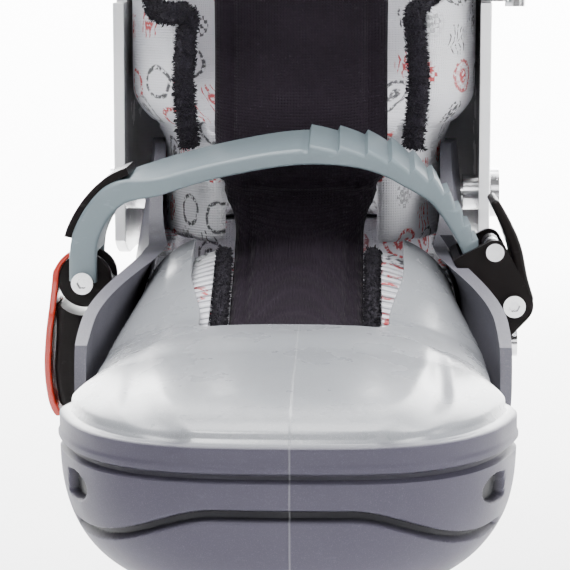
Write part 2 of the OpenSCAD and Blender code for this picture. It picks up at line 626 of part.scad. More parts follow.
shell_x = 46.1;               // half-width of the rear shell at the instep strap
module at_instep() {
  translate([0, pin_y, strap_z]) children();
}
module instep_strap() color(strap_grey) at_instep() strap(pin_x);
module strap_end_cap() color(black) at_instep() end_cap(pin_x);
module strap_pin() color(steel) at_instep() hinge_pin([-pin_x, 0, 0], strap_w + 0.4);
module strap_bracket() color(steel) at_instep() hinge_bracket(pin_x, shell_x, -22);
module bracket_rivets() color(steel) at_instep() bracket_rivet_pair(shell_x, -22);
grip_line = [[-pin_x - 3.4, -6], [-pin_x - 3.6, -14], [-pin_x - 4.2, -23], [-pin_x - 3.4, -33]];
module quick_lever() color(black) at_instep() difference() {
  union() {
    for (s = [-1, 1]) translate([0, s * 6.1, 0]) slab(-1.5, 1.5)
      translate([-pin_x, 0]) circle(r = 7, $fn = 48);
    difference() {
      slab(-10.4, 10.4) polygon(strip(curve(grip_line, 5), 4.2, 4.2));
      rod_y([-pin_x, 0, 0], 17.6, 30);
    }
    for (s = [-1, 1]) translate([0, s * 6.1, 0]) slab(-1.5, 1.5)
      polygon([[-pin_x - 6, -3.4], [-pin_x - 6.8, -10], [-pin_x + 0.4, -10], [-pin_x + 2, -6]]);
  }
  rod_y([-pin_x, 0, 0], pin_d + 2 * fit, 40);
}
cover_line =
  concat([[-pin_x - 3.3, -3.6], [-pin_x - 3.4, -8.4]], [for (i = [1:3]) grip_line[i]]);
// The lever's outer skin wraps the hub and runs down over the grip to its tip
module lever_cover() color(red) at_instep() union() {
  difference() {
    rod_y([-pin_x, 0, 0], 16, 15.2);
    rod_y([-pin_x, 0, 0], 14.1, 20);
    translate([-pin_x - 1, -10, -20]) cube([20, 20, 40]);
    translate([-pin_x - 20, -10, -28]) cube([40, 20, 25.6]);
  }
  slab(-10.4, 10.4) polygon(strip([for (p = curve(cover_line, 5)) p - [5.6, 0]], 1, 1));
}
module ratchet_base() color(black) at_instep() buckle_base(pin_x, shell_x, -20);
module ratchet_rivets() color(steel) at_instep() buckle_rivet_pair(pin_x, shell_x, -20);
module ratchet_pin() color(steel) at_instep() buckle_pin(pin_x);
module ratchet_lever() color(black) at_instep() buckle_lever(pin_x);
module pawl_pin() color(steel) at_instep() pawl_axle(pin_x);
module pawl() color(black) at_instep() pawl_body(pin_x);
module pawl_spring() color(steel) at_instep() buckle_spring(pin_x);

// ---------- cuff strap and its two fastenings ----------

cuff_strap_at = [0, 44, 204];
cuff_pin_x = pin_x + 3;
cuff_x = cuff_w + 0.1;
module at_cuff() {
  translate(cuff_strap_at) rotate([90, 0, 0]) children();
}
module cuff_strap() color(strap_grey) at_cuff() strap(cuff_pin_x);
module cuff_strap_pin() color(steel) at_cuff() hinge_pin([-cuff_pin_x, 0, 0], strap_w + 0.4);
module cuff_strap_bracket() color(steel) at_cuff() hinge_bracket(cuff_pin_x, cuff_x, -22);
module cuff_strap_rivets() color(steel) at_cuff() bracket_rivet_pair(cuff_x, -22);
module cuff_buckle_base() color(black) at_cuff() buckle_base(cuff_pin_x, cuff_x, -26);
module cuff_buckle_rivets() color(steel) at_cuff() buckle_rivet_pair(cuff_pin_x, cuff_x, -26);
module cuff_buckle_pin() color(steel) at_cuff() buckle_pin(cuff_pin_x);
module cuff_buckle_lever() color(black) at_cuff() buckle_lever(cuff_pin_x);
module cuff_pawl_pin() color(steel) at_cuff() pawl_axle(cuff_pin_x);
module cuff_pawl() color(black) at_cuff() pawl_body(cuff_pin_x);
module cuff_pawl_spring() color(steel) at_cuff() buckle_spring(cuff_pin_x);

rear_shell();
toe_shell();
blade_holder();
blade();
blade_screws();
blade_nuts();
holder_bolts();
holder_nuts();
clamp_plate();
size_knob();
insole();
liner_boot();
liner_toe();
liner_gusset();
liner_ankle();
liner_collar();
fleece_trim();
fleece_edge();
tongue_lower();
tongue_upper();
cuff();
cuff_rivets();
cuff_washers();
strap_bracket();
bracket_rivets();
strap_pin();
instep_strap();
strap_end_cap();
quick_lever();
lever_cover();
ratchet_base();
ratchet_rivets();
ratchet_pin();
ratchet_lever();
pawl_pin();
pawl();
pawl_spring();
cuff_strap_bracket();
cuff_strap_rivets();
cuff_strap_pin();
cuff_strap();
cuff_buckle_base();
cuff_buckle_rivets();
cuff_buckle_pin();
cuff_buckle_lever();
cuff_pawl_pin();
cuff_pawl();
cuff_pawl_spring();
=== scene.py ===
"""Looks of a child's adjustable hard-shell ice skate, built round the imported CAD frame."""
import json
import math

import bmesh
import bpy
import numpy as np
from mathutils import Matrix, Vector
from mathutils.kdtree import KDTree


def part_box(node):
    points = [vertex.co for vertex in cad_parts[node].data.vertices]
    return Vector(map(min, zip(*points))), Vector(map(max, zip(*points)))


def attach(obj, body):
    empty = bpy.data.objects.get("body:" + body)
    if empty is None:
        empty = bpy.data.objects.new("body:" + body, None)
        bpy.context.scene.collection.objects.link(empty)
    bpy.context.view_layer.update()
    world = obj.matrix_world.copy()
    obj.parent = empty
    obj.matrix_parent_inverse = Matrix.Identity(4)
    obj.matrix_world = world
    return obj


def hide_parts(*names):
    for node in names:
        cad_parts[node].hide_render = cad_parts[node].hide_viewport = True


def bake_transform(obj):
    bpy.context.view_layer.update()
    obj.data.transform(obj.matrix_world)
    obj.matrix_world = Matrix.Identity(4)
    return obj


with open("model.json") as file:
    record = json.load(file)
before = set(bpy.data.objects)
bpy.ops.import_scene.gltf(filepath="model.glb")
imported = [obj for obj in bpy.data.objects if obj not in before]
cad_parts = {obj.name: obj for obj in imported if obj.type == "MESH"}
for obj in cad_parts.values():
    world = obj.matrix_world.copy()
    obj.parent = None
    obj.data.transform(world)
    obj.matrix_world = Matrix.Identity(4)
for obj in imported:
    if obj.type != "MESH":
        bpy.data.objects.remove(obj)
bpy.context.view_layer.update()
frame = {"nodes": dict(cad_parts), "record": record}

MM = 0.001
SEED = 11


# ---------------- sizes, in mm, from the frame

def box_mm(node):
    """Lowest and highest corner of a CAD node, in mm."""
    return tuple(np.array(corner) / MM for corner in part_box(node))


def centre_mm(node):
    """The middle of a CAD node's box, in mm."""
    return sum(box_mm(node)) / 2


toe_min, toe_max = box_mm("toe_shell")
rear_min, rear_max = box_mm("rear_shell")

TOE_W = toe_max[0]
TOE_FLARE = 1.0615  # the plan narrows before the widest place, so the sides aim wider than TOE_W
TOE_LEN = -toe_min[1]
TOE_FLOOR = toe_min[2]
TOE_BACK = toe_max[1]
REAR_FRONT = rear_min[1]
HEEL_LEN = rear_max[1]
SOLE = TOE_FLOOR - 4
MID = SOLE + 40
WALL = 3
FAN_Y = -34
HEEL_Y = 74
STRAP_PIN = centre_mm("strap_pin")
RATCHET_PIN = centre_mm("ratchet_pin")
CUFF_STRAP_PIN = centre_mm("cuff_strap_pin")
CUFF_BUCKLE_PIN = centre_mm("cuff_buckle_pin")
RING_Y = 66
CUFF_W, _, CUFF_TOP = box_mm("cuff")[1]


# ---------------- curves and grids

def ramp(a, b, v):
    t = np.clip((np.asarray(v, float) - a) / (b - a), 0, 1)
    return t * t * (3 - 2 * t)


def lerp(a, b, t):
    return a + (b - a) * t


def curve(points, steps):
    """A smooth line through points, with steps pieces between neighbours."""
    p = np.array(points, float)
    out = []
    for i in range(len(p) - 1):
        a, b, c, d = p[max(0, i - 1)], p[i], p[i + 1], p[min(len(p) - 1, i + 2)]
        for k in range(steps):
            t = k / steps
            out.append(0.5 * (2 * b + (c - a) * t + (2 * a - 5 * b + 4 * c - d) * t * t
                              + (3 * b - a - 3 * c + d) * t ** 3))
    out.append(p[-1])
    return np.array(out)


def normals_2d(path):
    d = np.gradient(path, axis=0)
    n = np.stack([-d[:, 1], d[:, 0]], axis=1)
    return n / np.linalg.norm(n, axis=1)[:, None]


def grid_normals(grid):
    """Unit normals of a grid of points, facing away from its middle."""
    along = np.gradient(grid, axis=0)
    across = np.gradient(grid, axis=1)
    n = np.cross(along, across)
    n = n / np.maximum(np.linalg.norm(n, axis=2, keepdims=True), 1e-9)
    return -n if (n * (grid - grid.mean(axis=(0, 1)))).sum() < 0 else n


def rib_row(rib, floor_z, dip_z, m):
    """One hull rib from the floor's centre line out to its contour and up to its cut edge."""
    spine, cx, cy, ridge, cut, n_up, n_low = rib
    j = np.arange(-m, m + 1)
    a = np.radians(-90 + (cut + 90) * np.abs(j) / m)
    n = np.where(a > 0, n_up, n_low)
    c = np.maximum(np.cos(a), 0) ** (2 / n)
    s = np.abs(np.sin(a)) ** (2 / n)
    z = np.where(a > 0, MID + (ridge - MID) * s, MID - (MID - dip_z) * s)
    return np.stack([np.sign(j) * c * cx, spine + c * (cy - spine), np.maximum(z, floor_z)], axis=1)


def asind(v):
    return math.degrees(math.asin(min(1, max(0, v))))


def acosd(v):
    return math.degrees(math.acos(min(1, max(0, v))))


# ---------------- hull shapes, as in the CAD

def toe_half(y):
    return lerp(lerp(41.6, 47, ramp(4, -32, y)), TOE_W * TOE_FLARE, ramp(-62, -86, y))


def hood_z(y):
    return 113 + 19 * ramp(-46, 16, y)


def hood_round(y):
    return lerp(2, 3, ramp(-40, 0, y))


THROAT_SIDE = 27
THROAT_FRONT = 16.4


def throat_reach(f):
    return ((abs(math.cos(f)) / 23) ** 4 + (abs(math.sin(f)) / THROAT_FRONT) ** 4) ** -0.25


def toe_rib_side(y, t):
    w = toe_half(y) - t
    e = lerp(23, THROAT_SIDE, ramp(FAN_Y, -8, y))
    n = hood_round(y)
    return (y, w, y, hood_z(y) - t, acosd((e / w) ** (n / 2)), n, 2)


def toe_low(y, k):
    """The lower section grows fuller where the toe comes out of the rear shell."""
    return float(2 + 1.4 * k * k + 1.05 * ramp(-64, -84, y))


def toe_rib_fan(k, t):
    y = FAN_Y - (TOE_LEN + FAN_Y) * math.sin(math.radians(90 * k))
    q = (FAN_Y - y) / (TOE_LEN + FAN_Y)
    x = (toe_half(y) - t) * max(0, 1 - q ** 3.2) ** (1 / 3.2)
    yt = FAN_Y + (y - FAN_Y) * (1 - t / (TOE_LEN + FAN_Y))
    f = math.atan2(FAN_Y - yt, x)
    n = hood_round(FAN_Y)
    far = math.hypot(x, FAN_Y - yt)
    cut = acosd(min(0.98, throat_reach(f) / far) ** (n / 2))
    return (FAN_Y, x, yt, hood_z(FAN_Y) - t, cut, n, toe_low(y, k))


FINE_LOW = 76.0
FINE_HIGH = 104.5


def toe_row(rib, floor_z, dip_z):
    """One rib of the toe. Where the grooves are, its points lie as high as its neighbours' do."""
    spine, cx, cy, ridge, cut, n_up, n_low = rib
    low = np.concatenate([np.linspace(dip_z, FINE_LOW, 36, endpoint=False),
                          np.linspace(FINE_LOW, MID, 90, endpoint=False)])
    a_low = -np.arcsin(((MID - low) / (MID - dip_z)) ** (n_low / 2))
    high = np.linspace(MID, FINE_HIGH, 20, endpoint=False)
    a_high = np.arcsin(np.clip((high - MID) / (ridge - MID), 0, 1) ** (n_up / 2))
    last = math.asin(((FINE_HIGH - MID) / (ridge - MID)) ** (n_up / 2))
    a = np.concatenate([a_low, a_high, np.linspace(last, math.radians(cut), 90)])
    a = np.concatenate([a[::-1], a[1:]])
    side = np.concatenate([-np.ones(len(a) // 2), [0], np.ones(len(a) // 2)])
    n = np.where(a > 0, n_up, n_low)
    c = np.maximum(np.cos(a), 0) ** (2 / n)
    k = np.abs(np.sin(a)) ** (2 / n)
    z = np.where(a > 0, MID + (ridge - MID) * k, MID - (MID - dip_z) * k)
    return np.stack([side * c * cx, spine + c * (cy - spine), np.maximum(z, floor_z)], axis=1)


def toe_grid(t, sides=30, fans=150):
    ribs = [toe_rib_side(lerp(TOE_BACK, FAN_Y, i / sides), t) for i in range(sides)]
    ribs += [toe_rib_fan(i / fans, t) for i in range(fans + 1)]
    return np.array([toe_row(r, TOE_FLOOR + t, SOLE + t) for r in ribs])


def rear_half(y):
    return lerp(lerp(50.4, 52.4, ramp(-74, -40, y)), 45.8, ramp(-36, 2, y))


def rear_ridge(y):
    return 134 + 107 * ramp(14, 66, y)


def rear_low_round(y):
    return float(2 + 0.6 * ramp(-36, -70, y))


def rear_edge(y):
    return lerp(lerp(101.5, 125, ramp(-78, 8, y)), lerp(150, 140, ramp(64, 96, y)), ramp(14, 50, y))


def rear_rib(spine, x, y, t):
    h = rear_ridge(spine) - t
    n = float(lerp(3.4, 2, ramp(10, 50, spine)))
    cut = asind(((rear_edge(y) - MID) / (h - MID)) ** (n / 2))
    return (spine, x, y, h, cut, n, rear_low_round(spine))


def heel_rib(i, fans, t, make):
    a = math.radians(90 * i / fans)
    x = (rear_half(HEEL_Y) - t) * max(0, math.cos(a)) ** (2 / 2.3)
    y = HEEL_Y + (HEEL_LEN - HEEL_Y - t) * math.sin(a) ** (2 / 2.3)
    return make(HEEL_Y, x, y, t)


def rear_grid(t, sides=84, fans=60, m=90):
    ribs = []
    for i in range(sides):
        y = lerp(REAR_FRONT, HEEL_Y, i / sides)
        thin = float(lerp(1.4, WALL, ramp(REAR_FRONT, -40, y)))
        ribs.append(rear_rib(y, rear_half(y) - min(t, t / WALL * thin), y, t))
    ribs += [heel_rib(i, fans, t, rear_rib) for i in range(fans + 1)]
    return np.array([rib_row(r, SOLE + t, SOLE - 4 + t, m) for r in ribs])


def ring_point(w, back, front, degrees, n=2.3):
    a = math.radians(degrees)
    s, c = math.sin(a), math.cos(a)
    reach = back if a > 0 else front
    return (w * math.copysign(abs(c) ** (2 / n), c), RING_Y + reach * math.copysign(abs(s) ** (2 / n), s))


def ring_angle(a):
    return a - 360 if a > 180 else a


# ---------------- meshes

def linked(name, data):
    """A new object in the scene."""
    obj = bpy.data.objects.new(name, data)
    bpy.context.scene.collection.objects.link(obj)
    return obj


def shade(mesh, angle):
    """Shades a mesh smooth, apart from edges sharper than angle, in degrees."""
    mesh.polygons.foreach_set("use_smooth", [True] * len(mesh.polygons))
    mesh.set_sharp_from_angle(angle=math.radians(angle))


def values_of(items, key, size=1, kind=float):
    """One value, or size values, of each item, as a flat array."""
    out = np.empty(len(items) * size, kind)
    items.foreach_get(key, out)
    return out


def set_uv(mesh, uvs):
    """uvs, in metres, has one pair for each point."""
    layer = mesh.uv_layers.get("UVMap") or mesh.uv_layers.new(name="UVMap")
    corners = values_of(mesh.loops, "vertex_index", kind=int)
    layer.data.foreach_set("uv", np.asarray(uvs, float)[corners].ravel())


def new_object(name, verts, faces, uvs=None):
    """A mesh object from points in mm."""
    mesh = bpy.data.meshes.new(name)
    mesh.from_pydata((np.asarray(verts) * MM).tolist(), [], faces)
    if uvs is not None:
        set_uv(mesh, uvs)
    return linked(name, mesh)


def grid_uv(grid):
    """Real distances along a grid's columns and rows, in metres."""
    across = np.concatenate([np.zeros((len(grid), 1)),
                             np.cumsum(np.linalg.norm(np.diff(grid, axis=1), axis=2), axis=1)], axis=1)
    across -= across[:, across.shape[1] // 2][:, None]
    along = np.concatenate([np.zeros((1, grid.shape[1])),
                            np.cumsum(np.linalg.norm(np.diff(grid, axis=0), axis=2), axis=0)])
    along = np.repeat(along.mean(axis=1)[:, None], grid.shape[1], axis=1)
    return np.stack([across, along], axis=2).reshape(-1, 2) * MM


def skin(name, outer, inner, meets=False):
    """A closed solid between two grids. meets: the last row's two halves are one line."""
    rows, cols = outer.shape[:2]
    size = rows * cols

    def ids(i, j, s):
        return s * size + i * cols + j

    i, j = np.meshgrid(np.arange(rows - 1), np.arange(cols - 1), indexing="ij")
    i, j = i.ravel(), j.ravel()
    faces = [np.stack([ids(i, j, 0), ids(i, j + 1, 0), ids(i + 1, j + 1, 0), ids(i + 1, j, 0)], 1),
             np.stack([ids(i + 1, j, 1), ids(i + 1, j + 1, 1), ids(i, j + 1, 1), ids(i, j, 1)], 1)]
    j = np.arange(cols - 1)
    faces.append(np.stack([ids(0, j, 1), ids(0, j + 1, 1), ids(0, j + 1, 0), ids(0, j, 0)], 1))
    if not meets:
        k = rows - 1
        faces.append(np.stack([ids(k, j, 0), ids(k, j + 1, 0), ids(k, j + 1, 1), ids(k, j, 1)], 1))
    i = np.arange(rows - 1)
    faces.append(np.stack([ids(i, 0, 0), ids(i + 1, 0, 0), ids(i + 1, 0, 1), ids(i, 0, 1)], 1))
    k = cols - 1
    faces.append(np.stack([ids(i, k, 1), ids(i + 1, k, 1), ids(i + 1, k, 0), ids(i, k, 0)], 1))
    verts = np.concatenate([outer.reshape(-1, 3), inner.reshape(-1, 3)])
    uv = np.concatenate([grid_uv(outer), grid_uv(inner)])
    return clean(new_object(name, verts, np.concatenate(faces).tolist(), uv))


def clean(obj, angle=38):
    """Merges coincident points, turns the faces outwards and shades smooth between sharp edges."""
    bm = bmesh.new()
    bm.from_mesh(obj.data)
    bmesh.ops.remove_doubles(bm, verts=bm.verts, dist=0.02 * MM)
    bmesh.ops.dissolve_degenerate(bm, edges=bm.edges, dist=0.01 * MM)
    bmesh.ops.recalc_face_normals(bm, faces=bm.faces)
    bm.to_mesh(obj.data)
    bm.free()
    shade(obj.data, angle)
    return obj


def round_edges(obj, width, angle=38):
    bevel = obj.modifiers.new("rounded", "BEVEL")
    bevel.width = width * MM
    bevel.segments = 3
    bevel.limit_method = "ANGLE"
    bevel.angle_limit = math.radians(angle)
    return obj


def section(half, up, down, corner, count=6):
    """A rounded rectangle, from -half to half across and from -down to up."""
    corner = min(corner, half, (up + down) / 2)
    out = []
    for cx, cy, start in ((half - corner, up - corner, 0), (-half + corner, up - corner, 90),
                          (-half + corner, -down + corner, 180), (half - corner, -down + corner, 270)):
        for k in range(count + 1):
            a = math.radians(start + 90 * k / count)
            out.append((cx + corner * math.cos(a), cy + corner * math.sin(a)))
    return np.array(out)


def sweep(name, path, sections, place):
    """Sections along a 2-D path, closed at both ends. place turns (x, across, z) into the frame, in mm."""
    n = normals_2d(path)
    rows, cols = len(path), len(sections[0])
    grid = np.empty((rows, cols, 3))
    for i, s in enumerate(sections):
        grid[i, :, 0] = path[i, 0] + s[:, 1] * n[i, 0]
        grid[i, :, 1] = s[:, 0]
        grid[i, :, 2] = path[i, 1] + s[:, 1] * n[i, 1]
    faces = [[i * cols + j, i * cols + (j + 1) % cols, (i + 1) * cols + (j + 1) % cols, (i + 1) * cols + j]
             for i in range(rows - 1) for j in range(cols)]
    faces.append(list(range(cols))[::-1])
    faces.append([(rows - 1) * cols + j for j in range(cols)])
    closed = np.concatenate([grid, grid[:, :1]], axis=1)
    uv = grid_uv(closed).reshape(rows, cols + 1, 2)[:, :cols].reshape(-1, 2)
    return clean(new_object(name, place(grid.reshape(-1, 3)), faces, uv))


def tube(name, path, radius, around):
    """A round rope along a 3-D path."""
    path = np.asarray(path, float)
    d = np.gradient(path, axis=0)
    d /= np.linalg.norm(d, axis=1)[:, None]
    side = np.cross(d, [0.0, -1.0, 0.15])
    side /= np.maximum(np.linalg.norm(side, axis=1)[:, None], 1e-9)
    other = np.cross(side, d)
    a = np.linspace(0, 2 * math.pi, around, endpoint=False)
    ring = np.cos(a)[None, :, None] * side[:, None] + np.sin(a)[None, :, None] * other[:, None]
    grid = path[:, None] + radius * ring
    rows = len(path)
    faces = [[i * around + j, i * around + (j + 1) % around,
              (i + 1) * around + (j + 1) % around, (i + 1) * around + j]
             for i in range(rows - 1) for j in range(around)]
    faces.append(list(range(around))[::-1])
    faces.append([(rows - 1) * around + j for j in range(around)])
    return clean(new_object(name, grid.reshape(-1, 3), faces), 60)


def cylinder(name, at, direction, radius, length, corner):
    """A cylinder centred on at, in mm, with rounded rims."""
    bm = bmesh.new()
    bmesh.ops.create_cone(bm, cap_ends=True, segments=48, radius1=radius * MM, radius2=radius * MM,
                          depth=length * MM)
    turn = Vector((0, 0, 1)).rotation_difference(Vector(direction)).to_matrix().to_4x4()
    bm.transform(Matrix.Translation(Vector([float(v) * MM for v in at])) @ turn)
    mesh = bpy.data.meshes.new(name)
    bm.to_mesh(mesh)
    bm.free()
    shade(mesh, 38)
    return round_edges(linked(name, mesh), corner)


def join(name, objects):
    """One object from several, with their modifiers applied."""
    graph = bpy.context.evaluated_depsgraph_get()
    bm = bmesh.new()
    for o in objects:
        part = bpy.data.meshes.new_from_object(o.evaluated_get(graph))
        bm.from_mesh(part)
        bpy.data.meshes.remove(part)
    mesh = bpy.data.meshes.new(name)
    bm.to_mesh(mesh)
    bm.free()
    for o in objects:
        bpy.data.objects.remove(o, do_unlink=True)
    shade(mesh, 38)
    return linked(name, mesh)


def points_of(obj):
    """A mesh's points in mm, as an array."""
    return values_of(obj.data.vertices, "co", 3).reshape(-1, 3) / MM


def put_points(obj, points):
    obj.data.vertices.foreach_set("co", (points * MM).ravel())
    obj.data.update()


def point_normals(obj):
    return values_of(obj.data.vertex_normals, "vector", 3).reshape(-1, 3)


def subdivided(obj):
    finer = obj.modifiers.new("finer", "SUBSURF")
    finer.levels = finer.render_levels = 1
    made = join(obj.name, [obj])
    shade(made.data, 170)
    return made


AIR_PRESSURE = 4.0
AIR_FRAMES = 20


def puffed(obj, voxel, cap, sewn):
    """Fills a padded piece with air: a short cloth simulation that moves no point further than cap, in mm.

    sewn gives, from the points in mm, how firmly each one is held."""
    name = obj.name
    even = obj.modifiers.new("even", "REMESH")
    even.mode = "VOXEL"
    even.voxel_size = voxel * MM
    obj = join(name, [obj])
    start = points_of(obj)
    held = obj.vertex_groups.new(name="sewn")
    for i, w in enumerate(sewn(start)):
        if w > 0.01:
            held.add([i], float(w), "REPLACE")
    cloth = obj.modifiers.new("air", "CLOTH")
    settings = cloth.settings
    settings.quality = 5
    settings.use_pressure = True
    settings.uniform_pressure_force = AIR_PRESSURE
    settings.effector_weights.gravity = 0
    settings.vertex_group_mass = "sewn"
    settings.pin_stiffness = 1.0
    cloth.point_cache.frame_start = 1
    cloth.point_cache.frame_end = AIR_FRAMES
    scene = bpy.context.scene
    for f in range(1, AIR_FRAMES + 1):
        scene.frame_set(f)
    graph = bpy.context.evaluated_depsgraph_get()
    full = bpy.data.meshes.new_from_object(obj.evaluated_get(graph))
    co = values_of(full.vertices, "co", 3)
    bpy.data.meshes.remove(full)
    obj.modifiers.clear()
    scene.frame_set(1)
    move = co.reshape(-1, 3) / MM - start
    far = np.linalg.norm(move, axis=1)[:, None]
    put_points(obj, start + move * np.minimum(1, cap / np.maximum(far, 1e-6)))
    return subdivided(obj)


def fuzz(obj, per_mm2, length, seed):
    """Adds short curled tufts of pile all over a piece."""
    rng = np.random.default_rng(seed)
    mesh = obj.data
    mesh.calc_loop_triangles()
    tri = values_of(mesh.loop_triangles, "vertices", 3, int).reshape(-1, 3)
    p, n = points_of(obj), point_normals(obj)
    a, b, c = p[tri[:, 0]], p[tri[:, 1]], p[tri[:, 2]]
    area = np.linalg.norm(np.cross(b - a, c - a), axis=1) / 2
    count = int(area.sum() * per_mm2)
    pick = rng.choice(len(tri), count, p=area / area.sum())
    u, v = rng.random(count), rng.random(count)
    u, v = np.where(u + v > 1, 1 - u, u)[:, None], np.where(u + v > 1, 1 - v, v)[:, None]
    root = a[pick] + u * (b - a)[pick] + v * (c - a)[pick]
    out = n[tri[pick, 0]]
    lean = rng.normal(size=(count, 3)) * 0.75
    side = np.cross(out, rng.normal(size=(count, 3)))
    side /= np.maximum(np.linalg.norm(side, axis=1)[:, None], 1e-6)
    tall = length * rng.uniform(0.5, 1.0, count)[:, None]
    wide = 0.16 * tall + 0.05
    bend = root + out * tall * 0.6 + lean * tall * 0.25
    tip = bend + out * tall * 0.3 + np.cross(lean, out) * tall * 0.45
    verts = np.stack([root - side * wide, root + side * wide, root + np.cross(side, out) * wide * 1.4,
                      bend - side * wide * 0.7, bend + side * wide * 0.7, tip], axis=1).reshape(-1, 3)
    base = np.arange(count)[:, None] * 6
    faces = np.concatenate([base + [0, 1, 4], base + [0, 4, 3], base + [1, 2, 4], base + [2, 0, 3],
                            base + [3, 4, 5], base + [2, 3, 5], base + [4, 2, 5]]).tolist()
    tufts = new_object(obj.name + "_pile", verts, faces)
    made = join(obj.name, [obj, tufts])
    shade(made.data, 170)
    return made


# ---------------- materials

class Shader:
    """A material, with short names for the nodes it is made of."""

    def __init__(self, name):
        self.material = bpy.data.materials.new(name)
        self.material.use_nodes = True
        self.tree = self.material.node_tree
        self.surface = self.tree.nodes["Principled BSDF"]

    def node(self, kind, inputs=None, **settings):
        made = self.tree.nodes.new(kind)
        for key, value in settings.items():
            setattr(made, key, value)
        for key, value in (inputs or {}).items():
            self.put(made.inputs[key], value)
        return made

    def put(self, socket, value):
        if isinstance(value, bpy.types.NodeSocket):
            self.tree.links.new(value, socket)
        else:
            socket.default_value = value

    def set(self, **values):
        for key, value in values.items():
            self.put(self.surface.inputs[key.replace("_", " ")], value)

    def coordinates(self, kind="Object"):
        return self.node("ShaderNodeTexCoord").outputs[kind]

    def noise(self, scale, detail=3.0, where=None, distortion=0.0):
        made = self.node("ShaderNodeTexNoise", {
            "Vector": where or self.coordinates(), "Scale": scale, "Detail": detail,
            "Roughness": 0.55, "Distortion": distortion})
        return made.outputs["Fac"]

    def math(self, operation, a, b=0.0):
        return self.node("ShaderNodeMath", {0: a, 1: b}, operation=operation).outputs[0]

    def times(self, a, b):
        return self.math("MULTIPLY", a, b)

    def span(self, value, low, high, to_low=0.0, to_high=1.0):
        return self.node("ShaderNodeMapRange", {"Value": value, "From Min": low, "From Max": high,
                                                "To Min": to_low, "To Max": to_high}).outputs[0]

    def mix(self, factor, a, b, blend="MIX"):
        made = self.node("ShaderNodeMix", data_type="RGBA", blend_type=blend)
        self.put(made.inputs["Factor"], factor)
        self.put(made.inputs["A"], a)
        self.put(made.inputs["B"], b)
        return made.outputs["Result"]

    def bump(self, height, distance, strength=1.0, under=None):
        made = self.node("ShaderNodeBump", {"Height": height, "Distance": distance, "Strength": strength})
        if under is not None:
            self.put(made.inputs["Normal"], under)
        return made.outputs["Normal"]

    def axis(self, name, where=None):
        return self.node("ShaderNodeSeparateXYZ", {"Vector": where or self.coordinates()}).outputs[name]


def rgb(r, g, b):
    return (r, g, b, 1.0)


def plastic(name, colour, roughness, grain=900.0, grain_depth=0.00003, flake=0.0, coat=0.0, seam=False,
            soft=0.0, dark=None, shine=0.5):
    """Moulded plastic: uneven pigment, fine grain, rubbed patches and short scratches. With dark, the
    grooves, vents and lower bands get painted shade.
    """
    s = Shader(name)
    cloudy = s.noise(22.0, 4.0)
    low = tuple(c * 0.86 for c in colour[:3]) + (1.0,)
    base = s.mix(s.span(cloudy, 0.3, 0.7), low, colour)
    scratch_where = s.node("ShaderNodeMapping", {"Vector": s.coordinates(), "Scale": (90.0, 900.0, 240.0),
                                                 "Rotation": (0.3, 0.5, 0.8)}).outputs[0]
    scratch = s.span(s.noise(3.0, 2.0, scratch_where), 0.66, 0.72)
    base = s.mix(s.times(scratch, 0.16), base, rgb(*[min(1, c * 1.5 + 0.04) for c in colour[:3]]))
    if flake:
        spark = s.span(s.noise(5200.0, 1.0), 0.56, 0.7)
        base = s.mix(s.times(spark, flake), base, rgb(0.85, 0.86, 0.88))
    if dark is not None:
        # Painted shade: the toe's lower bands are multiplied darker for the shade they stand in; their lower
        # shine, lost coat and added roughness are a duller finish.
        band = s.node("ShaderNodeAttribute", attribute_name="band").outputs["Fac"]
        base = s.mix(band, base, s.mix(1.0, base, rgb(0.25, 0.225, 0.29), "MULTIPLY"))
        shine = s.span(band, 0.0, 1.0, shine, 0.16)
        coat = s.span(band, 0.0, 1.0, coat, 0.0)
        duller = s.times(band, 0.22)
        # Painted shade: the grooves and vents are mixed towards the near-black dark colour.
        groove_shade = s.node("ShaderNodeAttribute", attribute_name="painted_groove_shade").outputs["Fac"]
        base = s.mix(groove_shade, base, dark)
    normal = s.bump(s.noise(grain, 3.0), grain_depth)
    if seam:
        line = s.span(s.math("ABSOLUTE", s.math("SUBTRACT", s.axis("X"), 0.0016)), 0.0, 0.00032, 1.0, 0.0)
        base = s.mix(s.times(line, 0.12), base, rgb(0.72, 0.73, 0.76))
        normal = s.bump(line, 0.00012, under=normal)
    rough = s.span(s.noise(60.0, 5.0), 0.3, 0.72, roughness - 0.05, roughness + 0.08)
    if dark is not None:
        rough = s.math("ADD", rough, duller)
    s.set(Base_Color=base, Roughness=rough, Normal=normal, Coat_Weight=coat, Coat_Roughness=0.18)
    s.set(Specular_IOR_Level=shine)
    if soft:
        s.set(Subsurface_Weight=soft, Subsurface_Radius=(0.004, 0.004, 0.004), Subsurface_Scale=0.4)
    return s.material


def metal(name, colour, roughness, brushed=0.0, along=(1.0, 60.0, 1.0)):
    s = Shader(name)
    where = s.node("ShaderNodeMapping", {"Vector": s.coordinates(), "Scale": along}).outputs[0]
    lines = s.noise(500.0, 3.0, where)
    stain = s.span(s.noise(70.0, 4.0), 0.35, 0.75)
    base = s.mix(s.times(stain, 0.25), colour, rgb(*[c * 0.72 for c in colour[:3]]))
    s.set(Base_Color=base, Metallic=1.0, Normal=s.bump(lines, 0.00002 * (1 + 3 * brushed), 0.6),
          Roughness=s.span(lines, 0.3, 0.7, roughness - 0.05, roughness + 0.1))
    return s.material


def weave_height(s, pitch, where):
    """Warp and weft threads crossing over and under."""
    two_pi = 2 * math.pi / pitch
    u = s.times(s.axis("X", where), two_pi)
    v = s.times(s.axis("Y", where), two_pi)
    warp = s.times(s.math("ABSOLUTE", s.math("SINE", u)), s.math("ADD", s.math("COSINE", v), 1.4))
    weft = s.times(s.math("ABSOLUTE", s.math("SINE", v)), s.math("ADD", s.math("COSINE", u), 1.4))
    return s.math("MAXIMUM", warp, weft)


